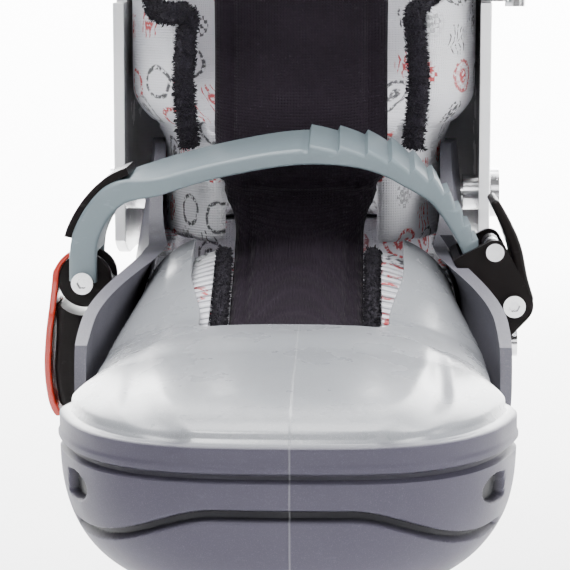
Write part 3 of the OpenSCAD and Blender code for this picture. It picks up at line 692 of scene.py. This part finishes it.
def printed_fabric(name, ribs=False):
    """White fabric with an abstract print of rings, chequers and strokes in red, black and grey."""
    s = Shader(name)
    uv = s.coordinates("UV")
    wavy = s.node("ShaderNodeTexNoise", {"Vector": uv, "Scale": 260.0, "Detail": 2.0}).outputs["Color"]
    shaken = s.mix(0.0016, uv, wavy, "ADD")
    cells = s.node("ShaderNodeTexVoronoi", {"Vector": shaken, "Scale": 84.0, "Randomness": 0.6},
                   voronoi_dimensions="2D")
    far = cells.outputs["Distance"]
    pick = s.node("ShaderNodeSeparateColor", {"Color": cells.outputs["Color"]})
    first, second, third = (pick.outputs[c] for c in ("Red", "Green", "Blue"))
    broken = s.span(s.noise(900.0, 3.0, uv), 0.4, 0.5)

    def band(value, low, high, edge=0.03):
        return s.times(s.span(value, low - edge, low), s.span(value, high, high + edge, 1.0, 0.0))

    rings = s.times(band(far, 0.30, 0.36), s.span(first, 0.50, 0.52, 1.0, 0.0))
    dots = s.times(s.span(far, 0.13, 0.17, 1.0, 0.0), s.span(second, 0.35, 0.37))
    check = s.node("ShaderNodeTexChecker", {"Vector": uv, "Scale": 780.0}).outputs["Fac"]
    checks = s.times(s.times(check, s.span(far, 0.27, 0.3, 1.0, 0.0)), band(first, 0.52, 0.70))
    strokes = s.times(s.span(s.node("ShaderNodeTexWave", {
        "Vector": shaken, "Scale": 170.0, "Distortion": 9.0, "Detail": 2.0}).outputs["Fac"], 0.8, 0.86),
        s.times(s.span(far, 0.32, 0.36, 1.0, 0.0), s.span(first, 0.66, 0.68)))
    marks = s.math("MAXIMUM", s.math("MAXIMUM", rings, dots), s.math("MAXIMUM", checks, strokes))
    ink = s.times(marks, broken)
    red_or_black = s.mix(s.span(third, 0.45, 0.47), rgb(0.52, 0.02, 0.025), rgb(0.03, 0.03, 0.035))
    red_or_black = s.mix(s.span(second, 0.8, 0.82), red_or_black, rgb(0.32, 0.32, 0.34))
    shade = s.mix(s.span(s.noise(40.0, 4.0), 0.3, 0.7), rgb(0.74, 0.74, 0.80), rgb(0.86, 0.86, 0.90))
    base = s.mix(s.times(ink, 0.92), shade, red_or_black)
    if ribs:
        wave = s.math("SINE", s.times(s.axis("Y", uv), 2 * math.pi / 0.0011))
        # Painted shade: the grooves between the ribs are mixed darker.
        base = s.mix(s.span(wave, -1.0, 0.0, 0.25, 0.0), base, rgb(0.3, 0.3, 0.34))
        normal = s.bump(wave, 0.0003)
    else:
        normal = s.bump(weave_height(s, 0.0007, uv), 0.00012)
    normal = s.bump(s.noise(120.0, 4.0), 0.0006, 0.5, normal)
    s.set(Base_Color=base, Roughness=0.9, Normal=normal, Sheen_Weight=0.08, Sheen_Roughness=0.4)
    return s.material


def dark_cloth(name, colour, pitch=0.0008, sheen=0.06, light=None):
    s = Shader(name)
    uv = s.coordinates("UV")
    worn = s.span(s.noise(35.0, 5.0), 0.35, 0.75)
    base = s.mix(s.times(worn, 0.5), colour, light or rgb(*[c * 2.2 for c in colour[:3]]))
    normal = s.bump(weave_height(s, pitch, uv), 0.0001)
    normal = s.bump(s.noise(90.0, 5.0), 0.0007, 0.6, normal)
    s.set(Base_Color=base, Roughness=s.span(worn, 0, 1, 0.9, 0.75), Normal=normal, Sheen_Weight=sheen,
          Sheen_Roughness=0.35, Specular_IOR_Level=0.2)
    return s.material


def fleece_cloth(name):
    s = Shader(name)
    curl = s.noise(1500.0, 6.0, distortion=1.5)
    base = s.mix(s.span(curl, 0.35, 0.7), rgb(0.006, 0.005, 0.008), rgb(0.035, 0.03, 0.042))
    s.set(Base_Color=base, Roughness=1.0, Normal=s.bump(curl, 0.0008), Sheen_Weight=0.05, Sheen_Roughness=0.5,
          Specular_IOR_Level=0.15)
    return s.material


LOOKS = {
    # dark is the painted shade colour for the toe's grooves and vents.
    "shell_silver": plastic("shell_silver", rgb(0.235, 0.245, 0.265), 0.27, flake=0.14, coat=0.25, seam=True,
                            dark=rgb(0.01, 0.01, 0.012)),
    "shell_dark": plastic("shell_dark", rgb(0.115, 0.112, 0.135), 0.40, flake=0.08, coat=0.0, shine=0.3),
    "white_plastic": plastic("white_plastic", rgb(0.82, 0.82, 0.84), 0.22, grain_depth=0.00001, coat=0.4),
    "strap_plastic": plastic("strap_plastic", rgb(0.145, 0.185, 0.205), 0.40, grain=1400.0, soft=0.05),
    "black_plastic": plastic("black_plastic", rgb(0.006, 0.0045, 0.0045), 0.36, grain_depth=0.00001,
                             shine=0.10),
    "red_plastic": plastic("red_plastic", rgb(0.42, 0.022, 0.010), 0.2, grain_depth=0.00001, coat=0.3),
    "chrome_pin": metal("chrome_pin", rgb(0.82, 0.82, 0.84), 0.12),
    "zinc_steel": metal("zinc_steel", rgb(0.60, 0.60, 0.60), 0.3, brushed=0.5),
    "blade_steel": metal("blade_steel", rgb(0.70, 0.71, 0.73), 0.2, brushed=1.0, along=(1.0, 1.0, 60.0)),
    "liner_fabric": printed_fabric("liner_fabric"),
    "stretch_fabric": printed_fabric("stretch_fabric", ribs=True),
    "fleece": fleece_cloth("fleece"),
    "tongue_fabric": dark_cloth("tongue_fabric", rgb(0.0085, 0.005, 0.0095)),
    "insole_felt": dark_cloth("insole_felt", rgb(0.05, 0.05, 0.06)),
}


def finish_piece(obj, body, look, *nodes):
    """Gives a piece its material and slot, the CAD nodes it stands for, and the body it rides on."""
    obj.data.materials.clear()
    obj.data.materials.append(LOOKS[look])
    if nodes:
        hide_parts(*nodes)
    if body:
        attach(obj, body)
    return obj


for subpart in frame["record"]["subparts"]:
    data = frame["nodes"][subpart["node"]].data
    data.materials.clear()
    data.materials.append(LOOKS[subpart["material_slot"]])


# ---------------- shells

STEP_Z = 101.0
UPPER_GROOVE_Z = 94.0
BAND_BACK = (-60.0, -76.0)
VENT = np.array([45.4, 87.4])
VENT_DEPTH = 2.2


def pulse(v, centre, half, soft):
    """1 within half of centre, and 0 beyond half + soft."""
    return 1 - ramp(half, half + soft, np.abs(v - centre))


LOWER_GROOVE_Z = 86.0
DENT = np.array([[33.5, 108.5], [22.8, 102.5]])


def lower_groove(p):
    """1 along the lower groove, which droops towards the sides and ends round."""
    droop = LOWER_GROOVE_Z - 8 * ramp(14, 44, np.abs(p[..., 0]))
    return pulse(p[..., 2], droop, 0.75, 0.7) * (1 - ramp(45.2, 46.4, np.abs(p[..., 0])))


def band_front(y):
    return ramp(BAND_BACK[0], BAND_BACK[1], y)


def dent(p):
    """1 along the soft crease on each side of the hood."""
    q = np.stack([np.abs(p[..., 0]), p[..., 2]], axis=-1) - DENT[0]
    d = DENT[1] - DENT[0]
    t = np.clip((q @ d) / (d @ d), 0, 1)
    far = np.linalg.norm(q - t[..., None] * d, axis=-1)
    return (1 - ramp(0.2, 4.2, far)) * ramp(-38, -46, p[..., 1])


def toe_relief(p):
    """How far the toe shell's bands, grooves and creases stand out from its plain hull."""
    y, z = p[..., 1], p[..., 2]
    front = band_front(y)
    out = front * lerp(-1.0, 0.3, ramp(STEP_Z + 0.3, STEP_Z - 0.9, z))
    out -= 0.7 * front * pulse(z, STEP_Z + 1.4, 0.4, 1.4)
    out -= 1.4 * front * pulse(z, UPPER_GROOVE_Z, 0.45, 0.8)
    out += 0.35 * front * pulse(z, UPPER_GROOVE_Z + 1.8, 0.4, 0.9)
    out -= 1.8 * front * lower_groove(p)
    out -= 0.6 * dent(p)
    return out


def vent_mask(p):
    """The half-moon vent at each front corner: a disc, cut off straight on its outer side."""
    side, z = np.abs(p[..., 0]), p[..., 2]
    disc = 1 - ramp(2.9, 3.4, np.hypot(side - VENT[0], z - VENT[1]))
    return disc * (1 - ramp(1.4, 1.9, side - VENT[0])) * ramp(-62, -70, p[..., 1])


def painted_recess_shade(p):
    """Painted shade in the toe shell's grooves and vents: how far each point is darkened towards the
    near-black dark colour.
    """
    groove = band_front(p[..., 1]) * pulse(p[..., 2], UPPER_GROOVE_Z, 0.3, 0.5)
    return np.maximum(np.maximum(vent_mask(p), 0.92 * lower_groove(p) * band_front(p[..., 1])), 0.62 * groove)


def point_attribute(obj, name, values):
    made = obj.data.attributes.new(name, "FLOAT", "POINT")
    made.data.foreach_set("value", values)


def nearest_value(grid, values, points):
    """The value at the grid point nearest to each point."""
    tree = KDTree(values.size)
    for i, at in enumerate(grid.reshape(-1, 3)):
        tree.insert(at, i)
    tree.balance()
    flat = values.ravel()
    return np.array([flat[tree.find(at)[1]] for at in points])


toe_outer = toe_grid(0)
toe_inner = toe_grid(WALL)
toe_normal = grid_normals(toe_outer)
toe_normal[-1, :, 0] = 0
outside = toe_outer[..., 2] > TOE_FLOOR + 0.5
toe_painted_shade = painted_recess_shade(toe_outer)
relief = (toe_relief(toe_outer) - VENT_DEPTH * vent_mask(toe_outer)) * outside
toe_outer = toe_outer + relief[..., None] * toe_normal
toe_outer[-1, :, 0] = 0
toe_piece = skin("toe_shell_skin", toe_outer, toe_inner, True)
placed = points_of(toe_piece)
# Painted shade: the grooves and vents, and the lower bands, are darkened through these two attributes.
point_attribute(toe_piece, "painted_groove_shade", nearest_value(toe_outer, toe_painted_shade, placed))
point_attribute(toe_piece, "band", band_front(placed[:, 1]) * ramp(STEP_Z + 0.2, STEP_Z - 0.8, placed[:, 2]))
finish_piece(round_edges(toe_piece, 0.6, 60), "toe", "shell_silver", "toe_shell")

BUCKLE_DROP = STRAP_PIN[2] - RATCHET_PIN[2]
BUCKLE_TILT = math.radians(55.5)
BUCKLE_FLOOR = -4.3


def in_buckle(p, half):
    """From the buckle's own axes, with its pin at the middle, to the strap's."""
    p = np.asarray(p, float)
    c, s = math.cos(BUCKLE_TILT), math.sin(BUCKLE_TILT)
    across, along, up = p.T
    return np.stack([half + across * c + up * s, along, -BUCKLE_DROP - across * s + up * c], axis=1)


def at_instep(p):
    return np.asarray(p, float) + np.array([0, STRAP_PIN[1], STRAP_PIN[2]])


def at_cuff(p):
    x, y, z = np.asarray(p, float).T
    return np.stack([x, CUFF_STRAP_PIN[1] - z, CUFF_STRAP_PIN[2] + y], axis=1)


def box_object(name, low, high, place):
    corners = np.array([[x, y, z] for x in (low[0], high[0]) for y in (low[1], high[1])
                        for z in (low[2], high[2])])
    faces = [[0, 1, 3, 2], [4, 6, 7, 5], [0, 4, 5, 1], [2, 3, 7, 6], [0, 2, 6, 4], [1, 5, 7, 3]]
    return clean(new_object(name, place(corners), faces))


def cut_with(obj, *tools):
    """obj with the tools' shapes taken out of it."""
    name = obj.name
    for tool in tools:
        hollow = obj.modifiers.new("cut", "BOOLEAN")
        hollow.object = tool
        hollow.operation = "DIFFERENCE"
        hollow.solver = "EXACT"
    piece = join(name, [obj])
    for tool in tools:
        bpy.data.objects.remove(tool, do_unlink=True)
    return piece


rear_piece = skin("rear_shell_skin", rear_grid(0), rear_grid(WALL), True)
under_buckle = box_object("under_buckle", (-24, -15, BUCKLE_FLOOR - 2.3), (10, 15, BUCKLE_FLOOR + 23.7),
                          lambda p: at_instep(in_buckle(p, RATCHET_PIN[0])))
WALL_FOOT = SOLE + WALL + 0.2
WALL_FOOT_Y = -55
WALL_HEAD = 112
WALL_HEAD_Y = -46
WALL_FRONT = [[-90, WALL_FOOT], [WALL_FOOT_Y, WALL_FOOT], [WALL_HEAD_Y, WALL_HEAD], [-90, WALL_HEAD]]
PRISM_FACES = [[0, 1, 2, 3], [7, 6, 5, 4], [0, 4, 5, 1], [1, 5, 6, 2], [2, 6, 7, 3], [3, 7, 4, 0]]
wall_gap = clean(new_object("wall_gap", [[x, y, z] for x in (-60, 60) for y, z in WALL_FRONT],
                            PRISM_FACES))
rear_piece = cut_with(rear_piece, under_buckle, wall_gap)
finish_piece(round_edges(rear_piece, 0.5, 50), "boot", "shell_dark", "rear_shell")


# ---------------- cuff

def cuff_bottom(y):
    return 118 + 8 * ramp(60, 20, y)


CUFF_STEP_Z = 188.5
CUFF_STEP_Y = 53.2


def cuff_rim(y):
    """The rim is low in front of the step, then rises to the back."""
    back = lerp(217, CUFF_TOP, ramp(60, 110, y))
    return lerp(CUFF_STEP_Z, back, ramp(CUFF_STEP_Y - 0.2, CUFF_STEP_Y + 1.6, y))


CUFF_CUT = 13.5
CUFF_T = 3


def cuff_grid(w, back, front, rows=40, cols=120):
    grid = np.empty((rows + 1, cols + 1, 3))
    for i in range(cols + 1):
        x, y = ring_point(w, back, front, ring_angle(lerp(180 + CUFF_CUT, -CUFF_CUT, i / cols)))
        for k in range(rows + 1):
            grid[k, i] = (x, y, lerp(cuff_bottom(y), cuff_rim(y), k / rows))
    return grid


cuff_piece = skin("cuff_skin", cuff_grid(CUFF_W, 64, 120), cuff_grid(CUFF_W - CUFF_T, 61, 120))
finish_piece(round_edges(cuff_piece, 1.0, 50), "cuff_body", "white_plastic", "cuff")


# ---------------- straps and levers

def strap_line(half, steps):
    k = half / 55
    return curve([[-55 * k, 0], [-54 * k, 12], [-47 * k, 22.5], [-36 * k, 27.5], [-18 * k, 32.5],
                  [2 * k, 35.5], [20 * k, 33.5], [33 * k, 25.5], [40.6 * k, 14.5], [half - 10.3, 6.3]], steps)


STRAP_W = 22
FORK_R = 8.4
FORK_W = 15.8
TEETH = 10
TOOTH_H = 1.5


def lean(p, half):
    """The strap's front edge hangs a little lower than its back edge where it crosses the instep."""
    p = np.array(p, float)
    middle = ramp(-half + 3, -half + 22, p[:, 0]) * (1 - ramp(half - 30, half - 14, p[:, 0]))
    front = np.clip(-p[:, 1] / (STRAP_W / 2), -1, 1)
    p[:, 2] -= middle * np.where(front > 0, 3.6, 0.5) * front
    return p


def strap_piece(name, half, place):
    """The toothed strap: a flat band with a rolled front edge, and a fork over the hinge at its left end."""
    path = strap_line(half, 34)
    count = len(path) - 1
    sections = []
    for i in range(count + 1):
        share = i / count
        thick = float(lerp(3.2, 1.8, ramp(0.05, 0.45, share)))
        k = (share - 0.56) / 0.42 * TEETH
        tooth = TOOTH_H * (1 - (k - math.floor(k))) if 0 <= k <= TEETH else 0
        s = section(STRAP_W / 2, thick, thick, 0.9, 5)
        top = s[:, 1] > 0
        bead = 1 - ramp(1.2, 2.6, np.abs(s[:, 0] + STRAP_W / 2 - 1.4))
        s[:, 1] = s[:, 1] + np.where(top, tooth + 0.5 * bead * (1 if share < 0.55 else 0.2), 0)
        sections.append(s)
    band = sweep(name, path, sections, lambda p: place(lean(p, half)))
    origin, across, hinge = place(np.array([[0.0, 0, 0], [0.0, 1, 0], [-half, 0, 0]]))
    return cut_with(band, cylinder("fork", hinge, across - origin, FORK_R, FORK_W, 0.01))


finish_piece(strap_piece("instep_strap_band", -STRAP_PIN[0], at_instep), "strap_body",
             "strap_plastic", "instep_strap")
finish_piece(strap_piece("cuff_strap_band", -CUFF_STRAP_PIN[0], at_cuff), "cuff_strap_body",
             "strap_plastic", "cuff_strap")


# ---------------- levers

def rounded_sweep(name, path, half, thick, corner, place, ends=0.45):
    """A flat bar along a 2-D path whose two ends taper to round tips. half and thick may vary along it."""
    share = np.linspace(0, 1, len(path))
    tip = np.minimum(1, np.minimum(share, 1 - share) / 0.06)
    tip = ends + (1 - ends) * np.sqrt(1 - (1 - tip) ** 2)
    sections = [section(float(np.interp(f, *half)) * (0.8 + 0.2 * k), float(np.interp(f, *thick)) * k,
                        float(np.interp(f, *thick)) * k, corner, 5) for f, k in zip(share, tip)]
    return sweep(name, path, sections, place)


STRAP_HALF = 55
LEVER_X = -STRAP_HALF - 3.4
PIN_ROOM = 2.06
HUB_SIDES = (-6.1, 6.1)
ARM_HALF = 1.45
COVER_R = 7.7
GRIP = [[LEVER_X, -6], [LEVER_X - 0.2, -14], [LEVER_X - 0.8, -23], [LEVER_X, -33]]
grip = rounded_sweep("lever_grip", curve(GRIP, 12), ([0, 1], [10.2, 9.4]),
                     ([0, 0.7, 1], [4.0, 4.0, 3.4]), 2.4, at_instep)
grip = cut_with(grip, cylinder("hub_room", STRAP_PIN, (0, 1, 0), 8.8, 30, 0.01))
hubs = [cylinder("lever_hub", (STRAP_PIN[0], STRAP_PIN[1] + side, STRAP_PIN[2]), (0, 1, 0), 7, 2.9, 0.6)
        for side in HUB_SIDES]
arms = [round_edges(box_object("lever_arm", (-61.5, side - ARM_HALF, -10), (-55.5, side + ARM_HALF, -4),
                               at_instep), 0.5) for side in HUB_SIDES]
lever = join("quick_lever_grip", [grip] + hubs + arms)
lever = cut_with(lever, cylinder("pin_room", STRAP_PIN, (0, 1, 0), PIN_ROOM, 40, 0.01))
finish_piece(lever, "quick_body", "black_plastic", "quick_lever")

around_hub = [[STRAP_PIN[0] + COVER_R * math.cos(math.radians(a)), COVER_R * math.sin(math.radians(a))]
              for a in range(112, 181, 12)]
cover_line = around_hub + [[LEVER_X - 4.9, -7], [LEVER_X - 5.8, -14], [LEVER_X - 6.3, -23],
                           [LEVER_X - 5.4, -31], [LEVER_X - 3.6, -35.4]]
cover = rounded_sweep("lever_cover_skin", curve(cover_line, 8), ([0, 0.52, 0.62, 1], [7.4, 7.4, 10.2, 9.2]),
                      ([0, 0.3, 0.5, 1], [0.6, 0.6, 0.85, 0.9]), 0.5, at_instep)
finish_piece(cover, "quick_body", "red_plastic", "lever_cover")

BUCKLE_SIDE = 10.55
BUCKLE_ARM = [[0.5, 0.6], [-4, 3.8], [-9, 6.8]]
BUCKLE_LEVER = [[2.2, 3.4], [-4, 5.4], [-11, 8.3], [-18, 9.9], [-24.5, 10.6]]


def buckle_lever_piece(name, pin_half, place):
    def seat(p):
        return place(in_buckle(p, pin_half))
    blade = rounded_sweep(name + "_leaf", curve(BUCKLE_LEVER, 12), ([0, 0.5, 1], [11.4, 11.4, 10.2]),
                          ([0, 0.6, 1], [1.5, 1.5, 1.1]), 1.1, seat)
    at, end = seat([[0, 0, 0], [0, 1, 0]])
    parts = [blade]
    for side in (-BUCKLE_SIDE, BUCKLE_SIDE):
        hub, toward = seat([[0, side, 0], [0, side + 1, 0]])
        parts.append(cylinder(name + "_hub", hub, toward - hub, 4, 2.1, 0.4))
        arm = sweep(name + "_arm", curve(BUCKLE_ARM, 6), [section(1.05, 2.3, 2.3, 0.4, 3)] * 13,
                    lambda p, y=side: seat(p + np.array([0, y, 0])))
        parts.append(round_edges(arm, 0.2))
    return cut_with(join(name, parts), cylinder("pin_room", at, end - at, PIN_ROOM, 40, 0.01))


finish_piece(buckle_lever_piece("ratchet_lever_leaf", RATCHET_PIN[0], at_instep), "ratchet_body",
             "black_plastic", "ratchet_lever")
finish_piece(buckle_lever_piece("cuff_buckle_lever_leaf", CUFF_BUCKLE_PIN[0], at_cuff), "cuff_lever_body",
             "black_plastic", "cuff_buckle_lever")


# ---------------- liner

LINER_T = 5
LINER_FLOOR = box_mm("liner_boot")[0][2]
TOE_LINER_IN = WALL + 1
GUSSET_OPEN = 21.5


def recut(rib, e):
    """The rib with its cut moved so that its top edge lies at half-width e."""
    spine, x, y, ridge, cut, n_up, n_low = rib
    far = max(abs(x), math.hypot(x, y - spine))
    return (spine, x, y, ridge, acosd(min(0.98, e / far) ** (n_up / 2)), n_up, n_low)


def gusset_grid(t, lift, rows=150, m=40):
    ribs = [recut(toe_rib_side(y, t), GUSSET_OPEN) for y in np.linspace(7, -33, rows)]
    return np.array([rib_row(r, lift, SOLE + t, m) for r in ribs])


def ribbed(grid, pitch, depth):
    """The grid with rounded ribs across it, one for each pitch mm of its length."""
    wave = depth * np.sin(grid[:, :1, 1] * 2 * math.pi / pitch)
    lift = wave * ramp(LINER_FLOOR + 4, LINER_FLOOR + 9, grid[..., 2])
    return grid - np.abs(lift)[..., None] * grid_normals(grid)


gusset = skin("throat_elastic", ribbed(gusset_grid(TOE_LINER_IN, LINER_FLOOR), 3.2, 0.55),
              gusset_grid(TOE_LINER_IN + 3, LINER_FLOOR + 2.4))
finish_piece(gusset, None, "stretch_fabric", "liner_gusset")
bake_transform(gusset)


def liner_reach(f):
    return ((abs(math.cos(f)) / GUSSET_OPEN) ** 4 + (abs(math.sin(f)) / 44) ** 4) ** -0.25


def liner_toe_grid(t, lift, rows=40, m=60):
    ribs = []
    for i in range(rows + 1):
        spine, x, y, ridge, _, n_up, n_low = toe_rib_fan(i / rows, t)
        f = math.atan2(spine - y, x)
        cut = acosd(min(0.98, liner_reach(f) / math.hypot(x, spine - y)) ** (n_up / 2))
        ribs.append((spine - 0.5, x, y - 0.5, ridge, cut, n_up, n_low))
    return np.array([rib_row(r, lift, SOLE + t, m) for r in ribs])


toe_lining = skin("toe_lining", liner_toe_grid(TOE_LINER_IN, LINER_FLOOR),
                  liner_toe_grid(TOE_LINER_IN + LINER_T, LINER_FLOOR + 2.4), True)
finish_piece(toe_lining, "toe", "liner_fabric", "liner_toe")


def boot_rib(spine, x, y, t):
    h = rear_ridge(spine) - t
    n = float(lerp(3.4, 2, ramp(10, 50, spine)))
    e = float(lerp(118, 122, ramp(8, 30, y)))
    return (spine, x, y, h, asind(((e - MID) / (h - MID)) ** (n / 2)), n, 2)


def boot_grid(t, lift, sides=26, fans=34, m=44):
    ribs = [boot_rib(y, rear_half(y) - t, y, t) for y in np.linspace(9, HEEL_Y, sides, endpoint=False)]
    ribs += [heel_rib(i, fans, t, boot_rib) for i in range(fans + 1)]
    return np.array([rib_row(r, lift, SOLE - 4 + t, m) for r in ribs])


boot_lining = skin("boot_lining", boot_grid(WALL + 1.2, LINER_FLOOR),
                   boot_grid(WALL + 1.2 + LINER_T, LINER_FLOOR + 2.4), True)
finish_piece(boot_lining, "boot", "liner_fabric", "liner_boot")

ANKLE_LOW = 123.5
ANKLE_SEAM_Z = 155
RIM_SEAM = 11


def collar_high(y):
    return 187 + 44 * ramp(28, 66, y)


def collar_grid(ankle, collar, rows=46, cols=150):
    """The liner's wall from the ankle to its rim.

    ankle and collar are each (half-width, reach back, reach forward)."""
    grid = np.empty((rows + 1, cols + 1, 3))
    for i in range(cols + 1):
        q = ring_angle(lerp(180 + 59, -59, i / cols))
        _, y = ring_point(1, collar[1], collar[2], q, 3.6)
        top = float(collar_high(y))
        for k in range(rows + 1):
            z = lerp(ANKLE_LOW, top, k / rows)
            up = float(ramp(150, 164, z))
            w, b, f = (lerp(a, c, up) for a, c in zip(ankle, collar))
            x, y_here = ring_point(w, b, f, q, float(lerp(2.3, 3.6, up)))
            grid[k, i] = (x, y_here, z)
    return grid


def rim_share(p):
    """How far down from the collar's rim each point is, in mm."""
    return collar_high(p[:, 1]) - p[:, 2]


def collar_sewn(p):
    seam = 1 - ramp(0.8, 2.4, np.abs(rim_share(p) - RIM_SEAM))
    ankle = 1 - ramp(1.0, 3.0, np.abs(p[:, 2] - ANKLE_SEAM_Z))
    return np.maximum(np.maximum(seam, ankle), 1 - ramp(ANKLE_LOW + 2, ANKLE_LOW + 6, p[:, 2]))


def wrap_uv(p):
    """Real distances round the ankle and up it, in metres."""
    turn = np.arctan2(p[:, 0], p[:, 1] - RING_Y)
    return np.stack([turn * 50, p[:, 2]], axis=1) * MM


collar = puffed(skin("ankle_collar", collar_grid((39.2, 43.7, 43.7), (47.6, 57.0, 44.6)),
                     collar_grid((35.3, 39.3, 39.3), (42.8, 51.4, 39.4))), 2.6, 1.3, collar_sewn)
where, out = points_of(collar), point_normals(collar)
sunk = 0.7 * (1 - ramp(0.3, 1.3, np.abs(rim_share(where) - RIM_SEAM)))
sunk = sunk + 0.6 * (1 - ramp(0.3, 1.5, np.abs(where[:, 2] - ANKLE_SEAM_Z)))
put_points(collar, where - sunk[:, None] * out)
set_uv(collar.data, wrap_uv(where))
finish_piece(collar, None, "liner_fabric", "liner_collar", "liner_ankle")
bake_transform(collar)


# ---------------- tongue

TONGUE_T = 7
TONGUE = [[-75, 104], [-60, 105.5], [-34, 109], [-10, 120], [6, 128.5], [13.6, 136.5], [18.6, 145.6],
          [21.6, 160], [22, 185], [20, 212], [16, 238]]
TONGUE_SEAM_Z = 141.0


def tongue_half(z):
    return lerp(16.8, 23.6, ramp(132, 150, z))


def tongue_grid(t, cols=40):
    path = curve(TONGUE, 12)
    n = normals_2d(path)
    if n[0, 1] < 0:
        n = -n
    grid = np.empty((len(path), cols + 1, 3))
    for i, (p, m) in enumerate(zip(path, n)):
        half = float(tongue_half(p[1]))
        for j in range(cols + 1):
            u = 2 * j / cols - 1
            q = p - (t + 0.008 * (half * u) ** 2 * (1 if p[1] < 140 else 0.75)) * m
            grid[i, j] = (half * u, q[0], q[1])
    return grid


def tongue_channels(p):
    """1 along the sewn lines of the tongue: one down each side and one across at the instep."""
    side = np.abs(np.abs(p[:, 0]) - 0.78 * tongue_half(p[:, 2]))
    return side, np.abs(p[:, 2] - TONGUE_SEAM_Z)


def tongue_sewn(p):
    side, across = tongue_channels(p)
    return np.maximum(1 - ramp(0.6, 2.0, side), 1 - ramp(0.8, 2.4, across))


tongue = puffed(skin("tongue_pad", tongue_grid(0.9), tongue_grid(TONGUE_T - 0.9)), 2.4, 1.4, tongue_sewn)
where, out = points_of(tongue), point_normals(tongue)
side, across = tongue_channels(where)
sunk = 0.9 * (1 - ramp(0.3, 1.4, side)) + 0.9 * (1 - ramp(0.3, 1.5, across))
put_points(tongue, where - sunk[:, None] * out)
set_uv(tongue.data, np.stack([where[:, 0], where[:, 2] - 0.6 * where[:, 1]], axis=1) * MM)
finish_piece(tongue, None, "tongue_fabric", "tongue_lower", "tongue_upper")
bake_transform(tongue)


# ---------------- fleece

def mirrored(points):
    return [[-x, y, z] for x, y, z in points]


EDGE = [[19.0, -43, 106.3], [19.0, -34, 107.2], [19.0, -22, 112.2], [19.0, -10, 118], [19.2, 3, 125]]
edges = [tube("edge_rope", curve(path, 10), 1.8, 16) for path in (EDGE, mirrored(EDGE))]
fleece_edging = fuzz(join("throat_fleece", edges), 4.0, 0.9, SEED)
finish_piece(fleece_edging, None, "fleece", "fleece_edge")
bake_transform(fleece_edging)


def rim_point(q, drop=1.0, inset=0.6):
    x, y = ring_point(42.8 - inset, 51.4 - inset, 39.4 - inset, q, 3.6)
    return [x, y, float(collar_high(y)) - drop]


rim = [rim_point(q) for q in np.linspace(-48, 228, 70)]
front_right = [[29.8, 25.6, 150.5], [30.6, 25.2, 158], [31.2, 24.8, 168], [30.6, 24.8, 178],
               [30.0, 26.0, 185.4]]
u_line = front_right + rim + mirrored(front_right)[::-1]
trim = fuzz(tube("collar_fleece", curve(u_line, 3), 2.5, 18), 3.0, 1.1, SEED + 1)
finish_piece(trim, "cuff_body", "fleece", "fleece_trim")


# ---------------- floor, light and camera

def floor():
    size, rise, back = 3000.0, 900.0, 900.0
    profile = [(-size, 0.0), (back, 0.0)]
    profile += [(back + rise * math.sin(math.radians(a)), rise * (1 - math.cos(math.radians(a))))
                for a in range(6, 91, 6)]
    profile += [(back + rise, size)]
    verts = [(x, y, z) for y, z in profile for x in (-size, size)]
    faces = [[2 * i, 2 * i + 1, 2 * i + 3, 2 * i + 2] for i in range(len(profile) - 1)]
    obj = clean(new_object("studio_floor", verts, faces), 60)
    s = Shader("studio_floor")
    pale = s.mix(s.span(s.noise(6.0), 0.3, 0.7), rgb(0.90, 0.90, 0.90), rgb(0.93, 0.93, 0.93))
    s.set(Base_Color=pale, Roughness=0.7)
    obj.data.materials.append(s.material)


def aimed(name, data, at, target):
    """A light or camera at a place, pointing at target."""
    obj = linked(name, data)
    obj.location = at
    obj.rotation_euler = (Vector(target) - Vector(at)).to_track_quat("-Z", "Y").to_euler()
    return obj


def area_light(name, at, target, size, power):
    data = bpy.data.lights.new(name, "AREA")
    data.shape = "RECTANGLE"
    data.size, data.size_y = size
    data.energy = power
    aimed(name, data, at, target)


floor()
middle = (0.0, -0.02, 0.12)
area_light("key", (-0.25, -0.45, 1.1), middle, (0.45, 0.3), 13)
area_light("fill", (0.9, -0.45, 0.45), middle, (0.5, 0.5), 8)
area_light("top", (0.0, 0.15, 1.1), middle, (0.9, 0.6), 19)
area_light("front", (-0.15, -1.0, 0.62), (0.0, 0.02, 0.19), (0.6, 0.4), 3)
area_light("backdrop_low", (0.0, 1.1, 1.3), (0.0, 2.4, 0.0), (2.6, 1.0), 230)
area_light("backdrop_high", (0.0, 0.9, 1.6), (0.0, 3.2, 1.2), (2.6, 1.0), 190)
world = bpy.data.worlds.new("studio")
world.use_nodes = True
world.node_tree.nodes["Background"].inputs["Color"].default_value = (1, 1, 1, 1)
world.node_tree.nodes["Background"].inputs["Strength"].default_value = 0.30
bpy.context.scene.world = world
lens = bpy.data.cameras.new("camera")
lens.lens = 144
lens.sensor_width = 36
bpy.context.scene.camera = aimed("camera", lens, (0.016, -0.582, 0.199), (-0.0036, 0.006, 0.116))
